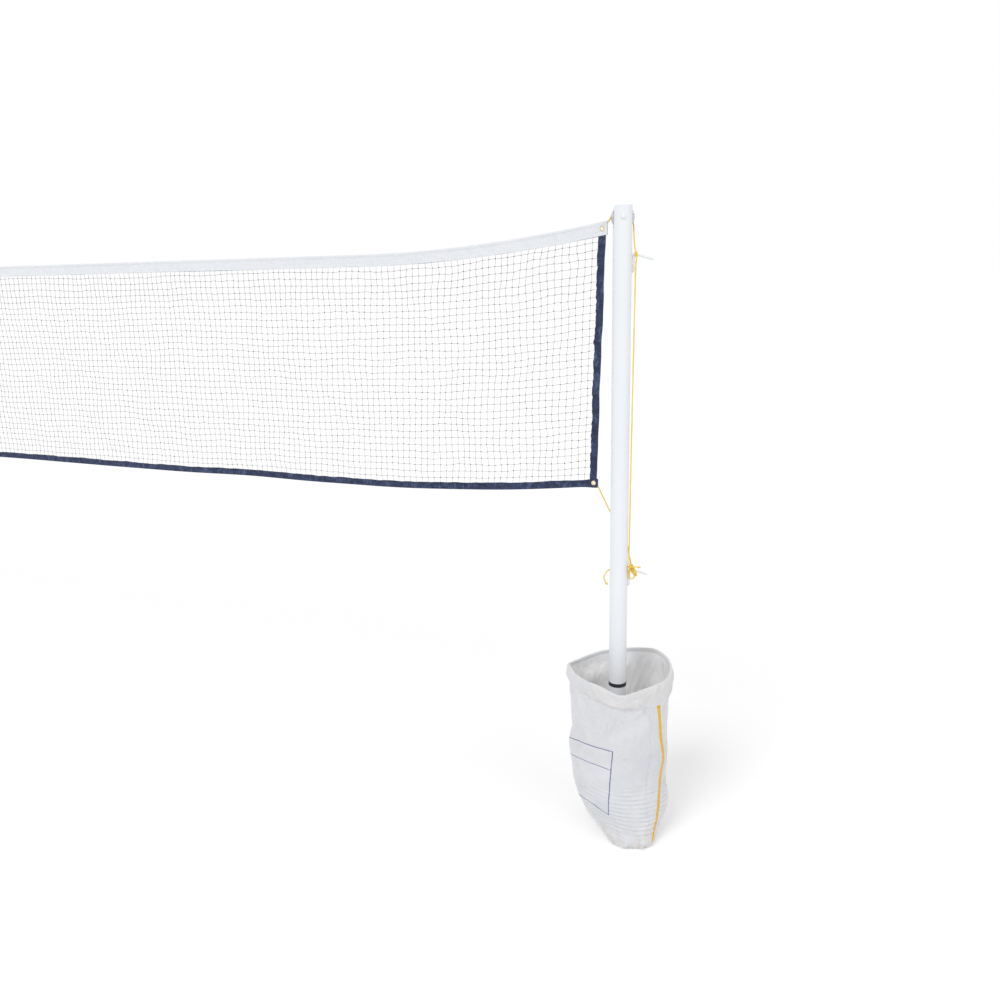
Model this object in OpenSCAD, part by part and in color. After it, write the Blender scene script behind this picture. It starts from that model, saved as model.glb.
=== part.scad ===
// Net on two poles. Each pole carries a pulley wheel at its top and two rope cleats,
// and stands in a woven sack filled with sand. Lengths are in millimetres.
// The origin is on the floor midway between the poles, +X runs along the net and +Z is up.

/* [Net] */
// Depth of the net with its tapes
net_depth = 760; // [600:10:1000]
// Distance between the axes of the two poles
pole_spacing = 6180; // [3000:20:9500]
// Height of the top corners of the net above the floor
net_height = 1892; // [1700:1:1900]
// How far the net sags below its corners
net_sag = 70; // [10:5:120]
// Sag of the net's bottom edge as a share of the sag of its top edge
bottom_sag = 0.75; // [0.5:0.05:1]
// Length of the sagging stretch at each end
sag_run = 800; // [500:50:1200]
// From the pole's axis to the top corner of the net
corner_gap_top = 42; // [38:1:90]
// From the pole's axis to the bottom corner of the net
corner_gap_bottom = 67; // [45:1:120]
// Height of the white top tape
top_tape_w = 38; // [28:1:60]
// Width of the dark side and bottom tapes
edge_tape_w = 22; // [18:1:40]
// Columns of the drawn mesh
mesh_columns = 50; // [10:1:50]
// Rows of the drawn mesh
mesh_rows = 6; // [2:1:6]
// Width of a drawn mesh bar
mesh_bar = 2.4; // [1:0.1:4]
// Thickness of the mesh
mesh_t = 1.2; // [0.8:0.1:1.6]

/* [Eyelets] */
// Outer diameter of an eyelet
eyelet_od = 14; // [11:0.5:16]
// Hole through an eyelet
eyelet_hole = 7.5; // [4:0.5:8]

/* [Pole] */
// Height of the pole's top above the floor
pole_height = 1930; // [1910:1:2400]
// Outer diameter of the pole
pole_od = 54; // [50:1:60]
// Wall of the pole
pole_wall = 2.5; // [1.5:0.1:3]
// Turn of the poles against the net, so that the pulleys look past it
pole_twist = 20; // [0:1:30]
// Middle of the black joint ring above the floor
ring_z = 502; // [460:1:560]
// Height of the joint ring
ring_h = 12; // [6:1:20]
// How far the joint ring stands proud of the pole
ring_proud = 0.6; // [0.2:0.1:3]
// Length of the spigot inside the two tubes
spigot_length = 220; // [120:10:300]
// Wall of the spigot
spigot_wall = 2.5; // [1.5:0.1:4]

/* [Pulley] */
// Diameter of the pulley wheel
wheel_d = 64; // [60:1:68]
// Width of the pulley wheel
wheel_w = 16; // [12:1:18]
// Diameter at the bottom of the rope groove
groove_d = 52; // [46:1:54]
// Diameter of the pulley bolt
bolt_d = 8; // [6:0.5:10]
// Width of the slot for the pulley
slot_w = 21; // [20:0.5:26]
// Depth of the open slot below the pole's top
slot_depth = 68; // [66:1:90]

/* [Cleats] */
// Height of the upper cleat's arm
upper_cleat_z = 1800; // [1700:1:1830]
// Height of the lower cleat's arm
lower_cleat_z = 875; // [700:1:1000]
// Rod that a cleat is bent from
cleat_rod = 7.5; // [6:0.5:10]
// How far a cleat reaches from the pole's surface
cleat_reach = 60; // [45:1:90]
// Length of the leg that is welded to the pole
cleat_leg = 51; // [30:1:80]
// Droop of the arm below level
cleat_droop = 17; // [0:1:30]

/* [Sack] */
// Height of the sack's rolled rim
sack_height = 544; // [500:2:620]
// Radius of the filled sack
sack_radius = 155; // [130:1:190]
// Half the width of the flat that the sack stands on
sack_foot = 92; // [80:1:120]
// Half the depth of that flat, along its bottom seam
foot_depth = 128; // [100:1:150]
// How much lower the rim is at the front than at the back
rim_tilt = 22; // [0:2:80]
// Height of the rolled cuff
cuff_h = 46; // [30:1:70]
// Thickness of the rolled cuff
cuff_t = 9; // [6:0.5:14]
// Wall of the sack
sack_wall = 2.5; // [1.5:0.1:4]
// Height of the sand
sand_height = 330; // [250:5:400]
// Top face of the foot cap above the floor
foot_cap_z = 20; // [18:1:60]

/* [Cord] */
// Diameter of the cords
cord_d = 4; // [3:0.1:4.2]

/* [Hidden] */
$fn = 64;
eps = 0.01;

// Clearances
turn_gap = 0.05;     // radial, wheel on its bolt
side_gap = 0.3;      // wheel to a spacer
fit_gap = 0.2;       // a plug or a bolt in its hole
seat_gap = 0.1;      // a piece that rests on a round surface
soft_gap = 0.3;      // around a soft piece
sand_gap = 1.2;      // sand to the sack's flat-faced wall
rope_gap = 0.4;      // cord to what it winds round

// Pole
pole_r = pole_od / 2;
bore_r = pole_r - pole_wall;
ring_top = ring_z + ring_h / 2;
ring_bottom = ring_z - ring_h / 2;
spigot_r = bore_r - fit_gap;
foot_flange_t = 6;
foot_flange_proud = 3;
foot_plug_h = 30;

// Pulley
wheel_r = wheel_d / 2;
wheel_z = pole_height - wheel_r;
groove_r = groove_d / 2;
groove_round = cord_d / 2 + 0.8;
groove_mouth = wheel_w / 2 - 2;
hub_r = bolt_d / 2 + 5;
web_t = 6;
rim_t = 5;
bolt_r = bolt_d / 2;
head_r = bolt_r + 3;
head_h = 4.5;
washer_r = bolt_r + 4;
washer_t = 1.5;
nut_h = 6.5;
nut_corner_r = bolt_r + 3.5;
bolt_end = 3;
spacer_r = bolt_r + 3;
window_gap = 3;
window_arch = 40;
window_high = wheel_z + sqrt(wheel_r * wheel_r - bore_r * bore_r) + window_gap;
flare_r = 16;
flare_drop = 12.5;

// Cleats
rod_r = cleat_rod / 2;
leg_gap = 0.4;
leg_u = pole_r + rod_r + leg_gap;
bend_r = 5;
bend_turn = 90 + cleat_droop;
bend_end_u = leg_u + bend_r - bend_r * cos(bend_turn);
bend_end_dz = bend_r * sin(bend_turn) - bend_r;
arm_length = (pole_r + cleat_reach - bend_end_u) / cos(cleat_droop);
bend_over = 0.05;
bend_lap = 0.3;
weld_half = 3.2;
weld_low = 6;
leg_cut = 30;
leg_cut_in = 1.2;

// Net, seen along Y: corners, stations along the length and layers of cloth
pole_x = pole_spacing / 2;
top_half = pole_x - corner_gap_top;
bottom_half = pole_x - corner_gap_bottom;
station_runs = [0, 0.07, 0.15, 0.24, 0.35, 0.48, 0.63, 0.8, 1];
tape_side_step = 4;
bead_h = 8;
bead_half = 3;
skirt_half = 2.2;
pocket_half = 1.5;
side_half = 1.4;
slot_half = mesh_t / 2 + seat_gap;
line_depth = 3.5;
channel_half = cord_d / 2 + seat_gap;
side_tuck = 12;
mesh_tuck_top = 8;
mesh_tuck_bottom = 5;
mesh_in_side = 3;
eyelet_wall = 0.8;
eyelet_flange = 0.7;
eyelet_in_top = 16;
eyelet_in_bottom = 13;

// Sack: height as a share of the rim, then from foot to body the shares of the width and of the
// depth, and the share of the foot's shift
bag_levels = [
    [0.000, 0.00, 0.00, 1.00], [0.040, 0.24, 0.38, 0.90], [0.085, 0.43, 0.60, 0.82],
    [0.150, 0.63, 0.78, 0.72], [0.220, 0.75, 0.87, 0.56], [0.310, 0.86, 0.95, 0.37],
    [0.440, 0.95, 1.00, 0.24], [0.660, 0.92, 0.97, 0.41], [0.850, 0.97, 0.98, 0.28],
    [1.000, 1.06, 1.10, 0.15]
];
bag_sides = 28;
bag_depth = 0.97;
foot_shift = 20.5;
front_angle = -90;
cuff_steps = 5;
// The inner wall ends above the outer one's bottom, and the sand starts just above it
inner_from = 0.02;
sand_from = 0.021;

// Colours
white_paint = [0.95, 0.96, 0.98];
zinc = [0.75, 0.77, 0.8];
black = [0.08, 0.08, 0.09];
navy = [0.16, 0.18, 0.28];
canvas = [0.92, 0.93, 0.94];
brass = [0.75, 0.6, 0.3];
twine = [0.35, 0.28, 0.24];
cord_yellow = [0.92, 0.72, 0.2];
sack_white = [0.86, 0.87, 0.88];
sand = [0.76, 0.68, 0.52];

// ---- points and tubes ----

function unit(v) = v / norm(v);
function mix(a, b, t) = a + (b - a) * t;
function turned(p, angle) = [
    p[0] * cos(angle) - p[1] * sin(angle), p[0] * sin(angle) + p[1] * cos(angle), p[2]
];
function tangent(p, i) = unit(p[min(i + 1, len(p) - 1)] - p[max(i - 1, 0)]);
function carried(side, t) = unit(side - (side * t) * t);
function first_side(t) = carried(abs(t[2]) < 0.9 ? [0, 0, 1] : [1, 0, 0], t);
function ring_at(p, t, side, r, n) = [
    for (k = [0:n - 1]) p + r * (cos(360 * k / n) * side + sin(360 * k / n) * cross(t, side))
];
function sides_along(p) = [
    for (i = 0, s = first_side(tangent(p, 0)); i < len(p);
         i = i + 1, s = i < len(p) ? carried(s, tangent(p, i)) : s) s
];
function tube_points(p, r, n) = let (s = sides_along(p)) [
    for (i = [0:len(p) - 1]) each ring_at(p[i], tangent(p, i), s[i], r, n)
];
function strip_faces(rings, n) = [
    for (i = [0:rings - 2], k = [0:n - 1])
        let (a = i * n + k, b = i * n + (k + 1) % n)
            each [[a, a + n, b + n], [a, b + n, b]]
];
function caps(rings, n) = [
    [for (k = [0:n - 1]) k], [for (k = [n - 1:-1:0]) (rings - 1) * n + k]
];
// The least distance between stretches of a tube that are not neighbours, less its thickness
function self_gap(p, apart, thick) = min([
    for (i = [0:len(p) - 1 - apart], j = [i + apart:len(p) - 1]) norm(p[i] - p[j])
]) - thick;

cord_sides = 8;
hitch_sides = 6;

module tube(p, r, n) {
    polyhedron(tube_points(p, r, n), concat(strip_faces(len(p), n), caps(len(p), n)), 10);
}

module at_right_pole() {
    translate([pole_x, 0, 0]) rotate([0, 0, pole_twist]) children();
}

module at_left_pole() {
    rotate([0, 0, 180]) at_right_pole() children();
}

// ---- pole ----

module slot_outline() {
    bottom = pole_height - slot_depth;
    translate([-slot_w / 2, bottom + slot_w / 2]) square([slot_w, slot_depth]);
    translate([0, bottom + slot_w / 2]) circle(d = slot_w);
    difference() {
        translate([-slot_w / 2 - flare_r, pole_height - flare_drop])
            square([slot_w + 2 * flare_r, 2 * flare_drop]);
        for (side = [-1, 1])
            translate([side * (slot_w / 2 + flare_r), pole_height - flare_drop]) circle(flare_r);
    }
}

module window_outline() {
    low = pole_height - slot_depth + slot_w / 2;
    translate([0, low]) circle(d = slot_w);
    intersection() {
        translate([-slot_w / 2, low]) square([slot_w, slot_depth]);
        translate([0, window_high - window_arch]) circle(window_arch);
    }
}

module pole_tube() {
    color(white_paint) difference() {
        translate([0, 0, ring_top]) cylinder(r = pole_r, h = pole_height - ring_top);
        translate([0, 0, ring_top - 1]) cylinder(r = bore_r, h = pole_height - ring_top + 2);
        // slot towards the net, open at the top
        translate([-hub_r, 0, 0]) rotate([90, 0, -90]) linear_extrude(pole_r) slot_outline();
        // window on the far side
        translate([hub_r, 0, 0]) rotate([90, 0, 90]) linear_extrude(pole_r) window_outline();
        translate([0, pole_od, wheel_z]) rotate([90, 0, 0])
            cylinder(r = bolt_r + fit_gap, h = 2 * pole_od);
    }
}

module ground_tube() {
    color(white_paint) translate([0, 0, foot_cap_z]) difference() {
        cylinder(r = pole_r, h = ring_bottom - foot_cap_z);
        translate([0, 0, -1]) cylinder(r = bore_r, h = ring_bottom - foot_cap_z + 2);
    }
}

module joint_spigot() {
    color(zinc) translate([0, 0, ring_z - spigot_length / 2]) difference() {
        cylinder(r = spigot_r, h = spigot_length);
        translate([0, 0, -1]) cylinder(r = spigot_r - spigot_wall, h = spigot_length + 2);
    }
}

module joint_ring() {
    groove = ring_h / 6;
    color(black) translate([0, 0, ring_bottom]) difference() {
        cylinder(r = pole_r + ring_proud, h = ring_h);
        translate([0, 0, -1]) cylinder(r = spigot_r + fit_gap, h = ring_h + 2);
        translate([0, 0, ring_h / 2 - groove / 2]) difference() {
            cylinder(r = pole_r + ring_proud + 1, h = groove);
            translate([0, 0, -1]) cylinder(r = pole_r - ring_proud / 2, h = groove + 2);
        }
    }
}

module foot_cap() {
    color(black) {
        translate([0, 0, foot_cap_z - foot_flange_t])
            cylinder(r = pole_r + foot_flange_proud, h = foot_flange_t);
        translate([0, 0, foot_cap_z - eps]) cylinder(r = spigot_r, h = foot_plug_h);
    }
}

// ---- pulley ----

module wheel_profile() {
    half = wheel_w / 2;
    difference() {
        union() {
            translate([0, -half]) square([hub_r, wheel_w]);
            translate([0, -web_t / 2]) square([wheel_r - rim_t, web_t]);
            translate([groove_r - rim_t, -half]) square([wheel_r - groove_r + rim_t, wheel_w]);
        }
        translate([-1, -wheel_w]) square([1 + bolt_r + turn_gap, 2 * wheel_w]);
        translate([groove_r + groove_round, 0]) circle(groove_round);
        polygon([
            [groove_r + groove_round, -groove_round], [wheel_r + 1, -groove_mouth],
            [wheel_r + 1, groove_mouth], [groove_r + groove_round, groove_round]
        ]);
    }
}

module pulley_wheel() {
    color(zinc) translate([0, 0, wheel_z]) rotate([90, 0, 0]) rotate_extrude() wheel_profile();
}

module pulley_bolt() {
    shank = 2 * (pole_r + seat_gap) + washer_t + nut_h + bolt_end;
    dome_r = (head_r * head_r + head_h * head_h) / (2 * head_h);
    color(white_paint) translate([0, -pole_r - seat_gap, wheel_z]) rotate([-90, 0, 0]) {
        cylinder(r = bolt_r, h = shank);
        intersection() {
            translate([0, 0, dome_r - head_h]) sphere(dome_r);
            translate([0, 0, -head_h - 1]) cylinder(r = head_r + 1, h = head_h + 1);
        }
    }
}

module pulley_nut() {
    color(zinc) translate([0, pole_r + seat_gap, wheel_z]) rotate([-90, 0, 0]) difference() {
        union() {
            cylinder(r = washer_r, h = washer_t);
            translate([0, 0, washer_t - eps]) cylinder(r = nut_corner_r, h = nut_h + eps, $fn = 6);
        }
        translate([0, 0, -1]) cylinder(r = bolt_r + seat_gap, h = washer_t + nut_h + 2);
    }
}

module pulley_spacers() {
    inner = wheel_w / 2 + side_gap;
    outer = sqrt(bore_r * bore_r - spacer_r * spacer_r) - seat_gap;
    color(zinc) for (side = [-1, 1])
        translate([0, side * (inner + outer) / 2, wheel_z]) rotate([90, 0, 0]) difference() {
            cylinder(r = spacer_r, h = outer - inner, center = true);
            cylinder(r = bolt_r + seat_gap, h = outer - inner + 2, center = true);
        }
}

// ---- cleats ----

// A rod bent to an upside-down L; its leg is welded to the pole and cut slanting
module cleat(z) {
    leg_top = z - bend_r;
    color(white_paint) {
        difference() {
            translate([leg_u, 0, z - cleat_leg])
                cylinder(r = rod_r, h = cleat_leg - bend_r + bend_lap);
            translate([pole_r + leg_cut_in, -rod_r - 1, z - cleat_leg]) rotate([0, -leg_cut, 0])
                translate([0, 0, -cleat_leg]) cube([2 * cleat_rod, cleat_rod + 2, cleat_leg]);
        }
        translate([0, 0, z - cleat_leg + weld_low])
            linear_extrude(cleat_leg - 2 * bend_r - weld_low) difference() {
                translate([0, -weld_half]) square([leg_u - 1, 2 * weld_half]);
                circle(pole_r + seat_gap);
            }
        translate([leg_u + bend_r, 0, leg_top]) rotate([90, 0, 0]) rotate([0, 0, 180 - bend_turn])
            rotate_extrude(angle = bend_turn) translate([bend_r, 0]) circle(rod_r + bend_over);
        translate([bend_end_u, 0, z + bend_end_dz]) rotate([0, 90 + cleat_droop, 0]) {
            rotate_extrude() {
                translate([0, -bend_lap]) square([rod_r, arm_length - rod_r + bend_lap]);
                intersection() {
                    translate([0, arm_length - rod_r]) circle(rod_r);
                    translate([0, arm_length - rod_r - eps]) square(rod_r + 1);
                }
            }
        }
    }
}

// ---- net ----

// Height lost to the sag at a distance from the net's end
function droop(from_end) = net_sag * (1 - pow(1 - min(from_end, sag_run) / sag_run, 2));
function half_at(depth) = mix(top_half, bottom_half, depth / net_depth);
function stations(half) = [
    for (r = station_runs) -half + r * sag_run,
    for (i = [len(station_runs) - 1:-1:0]) half - station_runs[i] * sag_run
];
// Share of the sag at a depth below the top edge
function sag_at(depth) = mix(1, bottom_sag, depth / net_depth);
function net_point(x, half, depth) =
    [x, net_height - depth - sag_at(depth) * droop(half - abs(x))];
// The tapes run straight between stations; near the net's end they rise with this slope
end_run = station_runs[1] * sag_run;
function end_slope(depth) = sag_at(depth) * droop(end_run) / end_run;
function end_point(depth, short) =
    [half_at(depth) - short, net_height - depth - end_slope(depth) * short];
function net_line(depth, short) =
    let (x = stations(half_at(depth)), end = end_point(depth, short)) concat(
        [[-end[0], end[1]]],
        [for (i = [1:len(x) - 2]) net_point(x[i], half_at(depth), depth)],
        [end]
    );

// A band along the net between two depths below its top edge, drawn as seen from the front
module band_outline(from, to, short) {
    lower = net_line(to, short);
    polygon(concat(net_line(from, short), [for (i = [len(lower) - 1:-1:0]) lower[i]]));
}

module slab(half_t) {
    rotate([90, 0, 0]) linear_extrude(2 * half_t, center = true) children();
}

module band(from, to, short, half_t) {
    slab(half_t) band_outline(from, to, short);
}

function eyelet_place(top) = top
    ? end_point(top_tape_w / 2, eyelet_in_top)
    : end_point(net_depth - edge_tape_w / 2, eyelet_in_bottom);

module each_eyelet(top) {
    place = eyelet_place(top);
    for (side = [-1, 1]) translate([side * place[0], 0, place[1]]) rotate([90, 0, 0]) children();
}

// The holes for the eyelets' barrels, with the cloth pressed flat under their flanges
module eyelet_holes(top) {
    each_eyelet(top) {
        cylinder(d = eyelet_hole + 2 * (eyelet_wall + seat_gap), h = 4 * bead_half, center = true);
        for (side = [-1, 1]) translate([0, 0, side * (skirt_half + bead_half)])
            cylinder(d = eyelet_od + 4 * seat_gap, h = 2 * bead_half, center = true);
    }
}

// The end pockets of the top tape, which the side tapes are sewn into
module side_pockets() {
    from = top_tape_w - side_tuck - seat_gap;
    out = tape_side_step - seat_gap;
    in = tape_side_step + edge_tape_w + seat_gap;
    for (side = [0, 1]) mirror([side, 0, 0])
        slab(pocket_half) side_strip(from, top_tape_w + 1, out, in);
}

module top_tape() {
    channel_top = line_depth - channel_half;
    channel_bottom = line_depth + channel_half;
    color(canvas) difference() {
        union() {
            band(0, bead_h, 0, bead_half);
            band(bead_h - 1, top_tape_w, 0, skirt_half);
        }
        band(channel_top, channel_bottom, -1, channel_half);
        band(channel_bottom - eps, top_tape_w + 1, tape_side_step, slot_half);
        side_pockets();
        eyelet_holes(true);
    }
}

module bottom_tape() {
    low = net_depth - line_depth;
    color(navy) difference() {
        union() {
            band(net_depth - edge_tape_w, net_depth - bead_h + 1, 0, skirt_half);
            band(net_depth - bead_h, net_depth, 0, bead_half);
        }
        band(low - channel_half, low + channel_half, -1, channel_half);
        band(net_depth - edge_tape_w - 1, low - channel_half + eps, tape_side_step, slot_half);
        eyelet_holes(false);
    }
}

module line_in_tape(depth) {
    color(cord_yellow)
        tube([for (p = net_line(depth, 0)) [p[0], 0, p[1]]], cord_d / 2, cord_sides);
}

// A strip down the net's side edge at its right-hand end
module side_strip(from, to, out, in) {
    polygon([end_point(from, out), end_point(to, out), end_point(to, in), end_point(from, in)]);
}

module side_tape(side) {
    from = top_tape_w - side_tuck;
    to = net_depth - edge_tape_w - seat_gap;
    out = tape_side_step;
    in = tape_side_step + edge_tape_w;
    color(navy) mirror([side < 0 ? 1 : 0, 0, 0]) difference() {
        slab(side_half) side_strip(from, to, out, in);
        slab(slot_half) side_strip(from - 1, to + 1, out + 1, in + 1);
    }
}

// The square mesh: one plate with a gap in every cell, cut to the sag
mesh_top = top_tape_w - mesh_tuck_top;
mesh_bottom = net_depth - edge_tape_w + mesh_tuck_bottom;
mesh_side = tape_side_step + mesh_in_side;
function mesh_knot(i, j) =
    let (d = mix(mesh_top, mesh_bottom, j / mesh_rows), half = half_at(d) - mesh_side)
    net_point(mix(-half, half, i / mesh_columns), half_at(d), d);

module mesh_gap(i, j) {
    h = mesh_bar / 2;
    polygon([
        mesh_knot(i, j) + [h, -h], mesh_knot(i + 1, j) + [-h, -h],
        mesh_knot(i + 1, j + 1) + [-h, h], mesh_knot(i, j + 1) + [h, h]
    ]);
}

module net_mesh() {
    edge = concat(
        [for (i = [0:mesh_columns]) mesh_knot(i, 0)],
        [for (j = [1:mesh_rows]) mesh_knot(mesh_columns, j)],
        [for (i = [mesh_columns - 1:-1:0]) mesh_knot(i, mesh_rows)],
        [for (j = [mesh_rows - 1:-1:1]) mesh_knot(0, j)]
    );
    color(twine) difference() {
        slab(mesh_t / 2) polygon(edge);
        for (i = [0:mesh_columns - 1], j = [0:mesh_rows - 1]) slab(mesh_t) mesh_gap(i, j);
    }
}

module eyelet_profile() {
    hole_r = eyelet_hole / 2;
    half = skirt_half + seat_gap;
    translate([hole_r, -half - eyelet_flange]) square([eyelet_wall, 2 * (half + eyelet_flange)]);
    for (side = [-1, 1]) translate([hole_r, side > 0 ? half : -half - eyelet_flange])
        square([eyelet_od / 2 - hole_r, eyelet_flange]);
}

module net_eyelets() {
    color(brass) for (top = [true, false]) each_eyelet(top) rotate_extrude() eyelet_profile();
}

// ---- sack and sand ----

// Height of a point of the sack: the rim dips towards the front, the foot stays level
function bag_z(share, angle) = share * (sack_height - rim_tilt / 2 * share * cos(angle - front_angle));
function bag_share(share, column) = lookup(share, [for (l = bag_levels) [l[0], l[column]]]);
function bag_point(share, angle, inset) =
    let (wide = mix(sack_foot, sack_radius, bag_share(share, 1)) - inset,
         deep = mix(foot_depth, bag_depth * sack_radius, bag_share(share, 2)) - inset)
    [foot_shift * bag_share(share, 3) + wide * cos(angle), deep * sin(angle), bag_z(share, angle)];
function bag_ring(share, inset, lift) = [
    for (k = [0:bag_sides - 1]) bag_point(share, 360 * k / bag_sides, inset) + [0, 0, lift]
];
function cuff_rings() = [
    for (i = [0:cuff_steps]) let (a = 180 * i / cuff_steps - 90)
        bag_ring(1, -cuff_t * cos(a), cuff_h / 2 * sin(a) - cuff_h / 2)
];

module lofted(rings) {
    polyhedron([for (r = rings) each r],
        concat(strip_faces(len(rings), bag_sides), caps(len(rings), bag_sides)), 10);
}

module sack() {
    top = len(bag_levels) - 1;
    outer = [for (i = [0:top - 1]) bag_ring(bag_levels[i][0], 0, 0)];
    inner = [for (i = [top:-1:1]) bag_ring(bag_levels[i][0], sack_wall, i == top ? -cuff_h / 2 : 0)];
    floor_ring = bag_ring(inner_from, sack_wall, 0);
    color(sack_white) lofted(concat(outer, cuff_rings(), inner, [floor_ring]));
}

module ballast_sand() {
    inset = sack_wall + sand_gap;
    top_share = sand_height / sack_height;
    shares = concat([sand_from],
        [for (l = bag_levels) if (l[0] > sand_from && l[0] < top_share - eps) l[0]], [top_share]);
    color(sand) difference() {
        lofted([for (s = shares) bag_ring(s, inset, 0)]);
        translate([0, 0, foot_cap_z]) cylinder(r = pole_r + soft_gap, h = sack_height);
        translate([0, 0, foot_cap_z - foot_flange_t - seat_gap])
            cylinder(r = pole_r + foot_flange_proud + soft_gap, h = foot_flange_t + 2 * seat_gap);
    }
}

// ---- cords: routes in the pole's own turned frame, u outwards, v to the back ----

cord_r = cord_d / 2;
// Where the lines leave the net's corners, and the way they point there
function line_exit(depth) = turned(
    [half_at(depth) - pole_x + seat_gap, 0, net_height - depth], -pole_twist
);
function line_out(depth) = turned(unit([1, 0, end_slope(depth)]), -pole_twist);
foot_line_depth = net_depth - line_depth;
top_exit = line_exit(line_depth);
foot_exit = line_exit(foot_line_depth);
function by_wheel(u, v, dz) = [u, v, wheel_z + dz];
function by_upper(u, v, dz) = [u, v, upper_cleat_z + dz];
function by_lower(u, v, dz) = [u, v, lower_cleat_z + dz];
wheel_step = 24;
over_wheel_r = (groove_r + cord_r + rope_gap) / cos(wheel_step / 2);
function over_wheel(angle) = [over_wheel_r * cos(angle), 0, wheel_z + over_wheel_r * sin(angle)];

// A cord that lies against the pole at a height, by the angle from the outer side
behind_r = pole_r + cord_r + 2 * rope_gap;
function behind_pole(angle, z) = [behind_r * cos(angle), behind_r * sin(angle), z];

// A point beside a cleat's arm: how far along it, and how far to its back and above it
arm_along = [cos(cleat_droop), 0, -sin(cleat_droop)];
arm_up = [sin(cleat_droop), 0, cos(cleat_droop)];
arm_back = [0, 1, 0];
function beside_arm(z, along, back, up) =
    [bend_end_u, 0, z + bend_end_dz] + along * arm_along + back * arm_back + up * arm_up;
turn_step = 30;
turn_r = (rod_r + cord_r + rope_gap) / cos(turn_step / 2);
turn_pitch = cord_d + 0.7;
first_from = 3;
function round_arm(z, a) = beside_arm(z, first_from + turn_pitch * (a - 180) / 360,
    turn_r * cos(a), turn_r * sin(a));

// One turn round the upper arm: down the front, under, up the back and over
upper_turn = [for (a = [180:turn_step:540]) round_arm(upper_cleat_z, a)];

// First layer on the lower arm, tied by the halyard
first_turns = 4;
function first_layer(a) = round_arm(lower_cleat_z, a);
first_start = first_layer(180) + 2 * cord_d * arm_up;

// Second layer, tied by the foot cord the other way round; its turns are pulled upwards
second_turns = 2.75;
second_from = 5;
second_wide = 11.7;
second_high = 15.5;
second_lift = 4;
function second_layer(a) = beside_arm(lower_cleat_z, second_from + turn_pitch * -a / 360,
    second_wide * cos(a), second_high * sin(a) + second_lift);
second_start = second_layer(0) + 2 * cord_d * arm_up;

// Out of the tape, over the wheel, round the upper arm and down to the lower arm
halyard_route = concat(
    [top_exit, top_exit + cord_d * line_out(line_depth), by_wheel(-35, 3, 1)],
    [for (a = [162:-wheel_step:-6]) over_wheel(a)],
    [by_wheel(31, 0, -38), by_upper(35, -5, 14)],
    upper_turn,
    [by_upper(46, -9, -10), by_upper(40, -9, -22), by_upper(36, -7, -50),
     by_lower(34, -7, 94), by_lower(35, -7, 44),
     first_start + 2 * cord_d * arm_up, first_start]
);

// The halyard's turns; its end goes back behind the pole and hangs down on the net's side
halyard_hitch_route = concat(
    [first_start, first_start - cord_d * arm_up],
    [for (a = [180:15:180 + 360 * first_turns + 180]) first_layer(a)],
    [by_lower(62, 10, 2), by_lower(60, 17, 5), by_lower(52, 22, 6), by_lower(40, 26, 7),
     by_lower(28, 29.5, 9)],
    [for (a = [90:15:150]) behind_pole(a, lower_cleat_z + 11)],
    [by_lower(-34, 14, 7), by_lower(-41, 12, -1), by_lower(-45, 11, -12), by_lower(-44, 10, -22),
     by_lower(-39, 9, -32), by_lower(-35, 8, -38)]
);

// From the bottom corner past the back of the pole to the lower arm
foot_cord_route = concat(
    [foot_exit, foot_exit + cord_d * line_out(foot_line_depth), foot_exit + [8, -0.5, -5]],
    [for (a = [96:-19:20]) behind_pole(a, lower_cleat_z + 49 + a)],
    [by_lower(33, 11, 42), second_start + 2 * cord_d * arm_up, second_start]
);

// The foot cord's turns, with a short end outwards over the arm
foot_hitch_route = concat(
    [second_start, second_start - cord_d * arm_up],
    [for (a = [0:-15:-360 * second_turns]) second_layer(a)],
    [by_lower(54, 5, 21), by_lower(59, 6, 21), by_lower(66, 6, 19), by_lower(72, 5, 17)]
);

module cord(route) {
    color(cord_yellow) tube(route, cord_r, cord_sides);
}

module hitch(route) {
    color(cord_yellow) tube(route, cord_r, hitch_sides);
}

echo(halyard_gap = self_gap(halyard_route, 4, cord_d));
echo(halyard_hitch_gap = self_gap(halyard_hitch_route, 6, cord_d));
echo(foot_hitch_gap = self_gap(foot_hitch_route, 6, cord_d));

at_right_pole() pole_tube();  // pole_tube_right
at_right_pole() ground_tube();  // ground_tube_right
at_right_pole() joint_spigot();  // joint_spigot_right
at_right_pole() joint_ring();  // joint_ring_right
at_right_pole() foot_cap();  // foot_cap_right
at_right_pole() pulley_wheel();  // pulley_wheel_right
at_right_pole() pulley_bolt();  // pulley_bolt_right
at_right_pole() pulley_nut();  // pulley_nut_right
at_right_pole() pulley_spacers();  // pulley_spacers_right
at_right_pole() cleat(upper_cleat_z);  // upper_cleat_right
at_right_pole() cleat(lower_cleat_z);  // lower_cleat_right
at_right_pole() sack();  // sack_right
at_right_pole() ballast_sand();  // ballast_sand_right
at_right_pole() cord(halyard_route);  // halyard_right
at_right_pole() hitch(halyard_hitch_route);  // halyard_hitch_right
at_right_pole() cord(foot_cord_route);  // foot_cord_right
at_right_pole() hitch(foot_hitch_route);  // foot_hitch_right
at_left_pole() pole_tube();  // pole_tube_left
at_left_pole() ground_tube();  // ground_tube_left
at_left_pole() joint_spigot();  // joint_spigot_left
at_left_pole() joint_ring();  // joint_ring_left
at_left_pole() foot_cap();  // foot_cap_left
at_left_pole() pulley_wheel();  // pulley_wheel_left
at_left_pole() pulley_bolt();  // pulley_bolt_left
at_left_pole() pulley_nut();  // pulley_nut_left
at_left_pole() pulley_spacers();  // pulley_spacers_left
at_left_pole() cleat(upper_cleat_z);  // upper_cleat_left
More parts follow.
